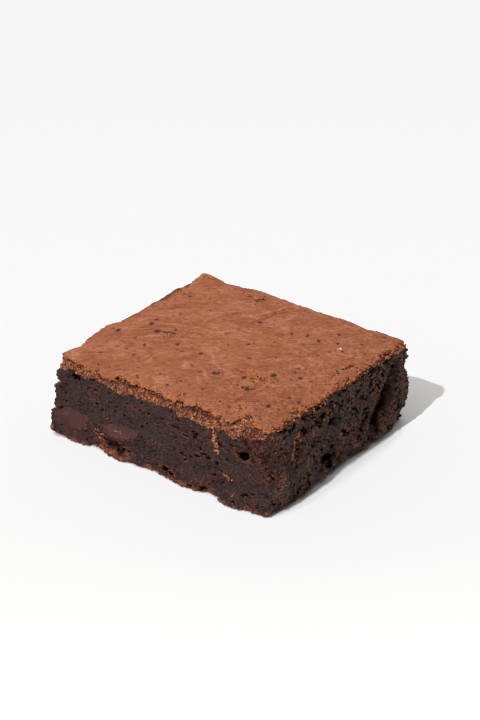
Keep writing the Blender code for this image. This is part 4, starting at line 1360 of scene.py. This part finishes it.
grain_rows = []
far_rim = (height > 22.8) & (shaped[:, 1] > BACK_EDGE)
in_band = crust_share * (height > 15) * (1 + 0.8 * facing_front) * on_wall * (1 - 0.6 * cavity_shade) * ~far_rim
for index in picked(in_band, RIM_GRAINS):
    radius = 0.10 + 0.24 * draw.random() ** 2
    place, out = on_skin(index, 0.35 * radius)
    low = 1 - min(1.0, max(0.0, (place.z - crust_edge(place, Vector(skin_out[index]))) / 3.0))
    # Grains turned away from the front are painted darker as shade; grains in rust patches are darker for
    # their colour, and those low in the band paler
    shade = 0.25 * max(0.0, 1 - facing_front[index]) + 0.45 * rusty[index]
    lit = draw.random() + 0.25 * low - shade
    grain_rows.append((place, out, radius, draw.uniform(0.5, 0.9), min(max(lit, 0.0), 1.0)))
for index in picked(lip_share * (height > 0.25) * (height < 3), LIP_GRAINS):
    radius = 0.09 + 0.16 * draw.random() ** 2
    place, out = on_skin(index, 0.3 * radius)
    place.z = max(place.z, radius + 0.05)
    # Lip grains off the front are painted darker as shade, and the lowest ones darker, partly the dark
    # underside and partly painted contact shade
    shade = draw.random() ** 1.5 * 0.6 - (0.15 if facing_front[index] < 0.4 else 0.0)
    shade *= smoothstep((height[index] - 0.35) / 0.4)
    grain_rows.append((place, out, radius, draw.uniform(0.5, 0.9), max(shade, 0.0)))
rough_edge = edge_share ** 2 * (1 + 2.0 * (sheet_at[:, 0] > 33.5)) + 0.5 * flaked
rough_edge *= 1 - 0.95 * (sheet_at[:, 1] > BACK_EDGE)
for index in picked(rough_edge, EDGE_GRAINS):
    radius = 0.09 + 0.2 * draw.random() ** 2
    place = Vector(sheet_at[index]) + Vector((0, 0, 0.2 * radius))
    if place.x > 34 and edge_share[index] > 0.7:
        place += Vector((draw.uniform(-0.3, 0.35), 0, draw.uniform(-1.0, 0)))
    grain_rows.append((place, UPRIGHT, radius, draw.uniform(0.4, 0.8), draw.uniform(0.0, 0.62)))
for side, trails in TRAILS.items():
    for path, count, (least, most) in trails:
        for _ in range(count):
            share = draw.random() * (len(path) - 1)
            start, end = Vector(path[int(share)]), Vector(path[int(share) + 1])
            across, up_wall = start.lerp(end, share % 1)
            across += draw.gauss(0, 0.16 if side == "right" else 0.4)
            up_wall += draw.gauss(0, 0.15)
            middle = along(side) * across + Vector((0, 0, up_wall)) + SIDES[side] * 40
            index = tree.find(surface.ray_cast(middle, -SIDES[side])[0])[1]
            radius = draw.uniform(least, most)
            place, out = on_skin(index, 0.4 * radius)
            grain_rows.append((place, out, radius, draw.uniform(0.3, 0.7), draw.uniform(0.35, 0.9)))
grain_rows.append((Vector(CORNER_CRUMB[0]), UPRIGHT, CORNER_CRUMB[1], 0.9, 0.35))

grains = Finish("crust_crumbs")
shade = grains.attribute("tone") + (grains.noise(0.35, 2.0) - 0.5) * 0.5
hues = grains.noise(0.8, 2.0)
brown = grains.coats(
    CRUST_DARK,
    (shade.rise(0.12, 0.40), CRUST_RUST),
    (shade.rise(0.30, 0.62), CRUST_TAN),
    (shade.rise(0.62, 0.95) * 0.55, CRUST_PALE),
    (hues.rise(0.55, 0.61) * 0.6, CRUST_PURPLE),
    ((1 - hues.rise(0.37, 0.44)) * 0.7, CRUST_RED),
)
grains.bump(grains.noise(0.25, 2.0), 0.08)
piece("crust_crumbs", crumbs_at(grain_rows), grains.done(brown, 0.65, 0.2))

clump_rows = []
torn_wall = np.clip(1 - 1.6 * facing_front, 0, 1) * (1 - crust_share) * on_wall * (shaped_out[:, 2] < 0.9)
torn_wall *= (1 - 0.9 * np.clip(sunk, 0, 1)) * ~far_rim
for index in picked(torn_wall, CLUMP_GRAINS):
    radius = 0.13 + 0.36 * draw.random() ** 3
    place, out = on_skin(index, 0.1 * radius)
    clump_rows.append((place, out, radius, draw.uniform(0.5, 0.9), draw.random() * 0.55))
red_weight = on_wall * (1 - crust_share) * (1 - smear) * (1 - 0.9 * np.clip(sunk, 0, 1))
red_weight *= 0.08 + 1.2 * rusty + 0.8 * pit_rim.clip(0, 1) * (1 + 0.5 * facing_right)
for index in picked(red_weight, RED_GRAINS):
    radius = 0.07 + (0.12 + 0.08 * facing_right[index]) * draw.random() ** 2
    place, out = on_skin(index, 0.2 * radius)
    clump_rows.append((place, out, radius, draw.uniform(0.4, 0.8), draw.uniform(0.55, 1.0)))
dark_crumbs = Finish("cake_crumbs")
shade = dark_crumbs.attribute("tone") + (dark_crumbs.noise(0.4, 2.0) - 0.5) * 0.3
# Clumps share the torn sides' colours, painted lighter to make up for the dim light on the right
brown = dark_crumbs.coats(
    TORN_DARK_PAINTED_LIGHTER,
    (shade.rise(0.0, 0.5), TORN_BROWN_PAINTED_LIGHTER),
    (shade.rise(0.5, 0.75), CRUMB_RUST),
    (shade.rise(0.85, 1.0), CLUMP_EMBER),
)
dark_crumbs.bump(dark_crumbs.noise(0.3, 2.0), 0.1)
piece("cake_crumbs", crumbs_at(clump_rows), dark_crumbs.done(brown, 0.65, 0.07))

flake_rows = []
near_right = edge_share * (sheet_at[:, 0] > 33) + 0.4 * flaked + 0.2 * edge_share
near_right *= sheet_at[:, 1] < BACK_EDGE
for index in picked(near_right, FLAKES):
    radius = 0.25 + 0.6 * draw.random() ** 2
    lean = Vector((draw.uniform(-0.4, 0.4), draw.uniform(-0.4, 0.4), 1)).normalized()
    place = Vector(sheet_at[index]) + Vector((0, 0, 0.05))
    flake_rows.append((place, lean, radius, 0.09 / radius, draw.uniform(0.2, 0.75)))
for y, count in FRINGE:
    for _ in range(count):
        at = rim_tree.find(Vector((-40, y + draw.gauss(0, 1.3), 24)))[0]
        radius = draw.uniform(0.12, 0.28)
        place = at + Vector((draw.uniform(0, 0.9), 0, draw.uniform(0.0, 0.15)))
        flake_rows.append((place, Vector((-1, 0, 0.4)).normalized(), radius, 0.6, draw.uniform(0.0, 0.3)))
piece("crust_flakes", crumbs_at(flake_rows), grains.material)

# The sugar: one clear, bright grain with a splinter beside it, which stuck to the top crust as the
# brownie was baked.
SUGAR_AT, SUGAR_RADIUS = (23.3, 15.1), 0.42
SPLINTER_OFF, SPLINTER_RADIUS = Vector((-0.55, -0.45, 0)), 0.25
SUGAR_DIM, SUGAR_BRIGHT = (0.5,) * 3, (0.9,) * 3

sugar = Finish("sugar")
sugar_at = Vector((*SUGAR_AT, 0)) + block_middle
sugar_at.z = sheet_at[flat_tree.find(sugar_at)[1]][2] + 0.2
sugar_rows = [
    (sugar_at, UPRIGHT, SUGAR_RADIUS, 0.8, 0.5),
    (sugar_at + SPLINTER_OFF, UPRIGHT, SPLINTER_RADIUS, 0.8, 0.5),
]
clear = sugar.mix(sugar.noise(0.3), SUGAR_DIM, SUGAR_BRIGHT)
piece("sugar_grain", crumbs_at(sugar_rows), sugar.done(clear, 0.2, 0.6))
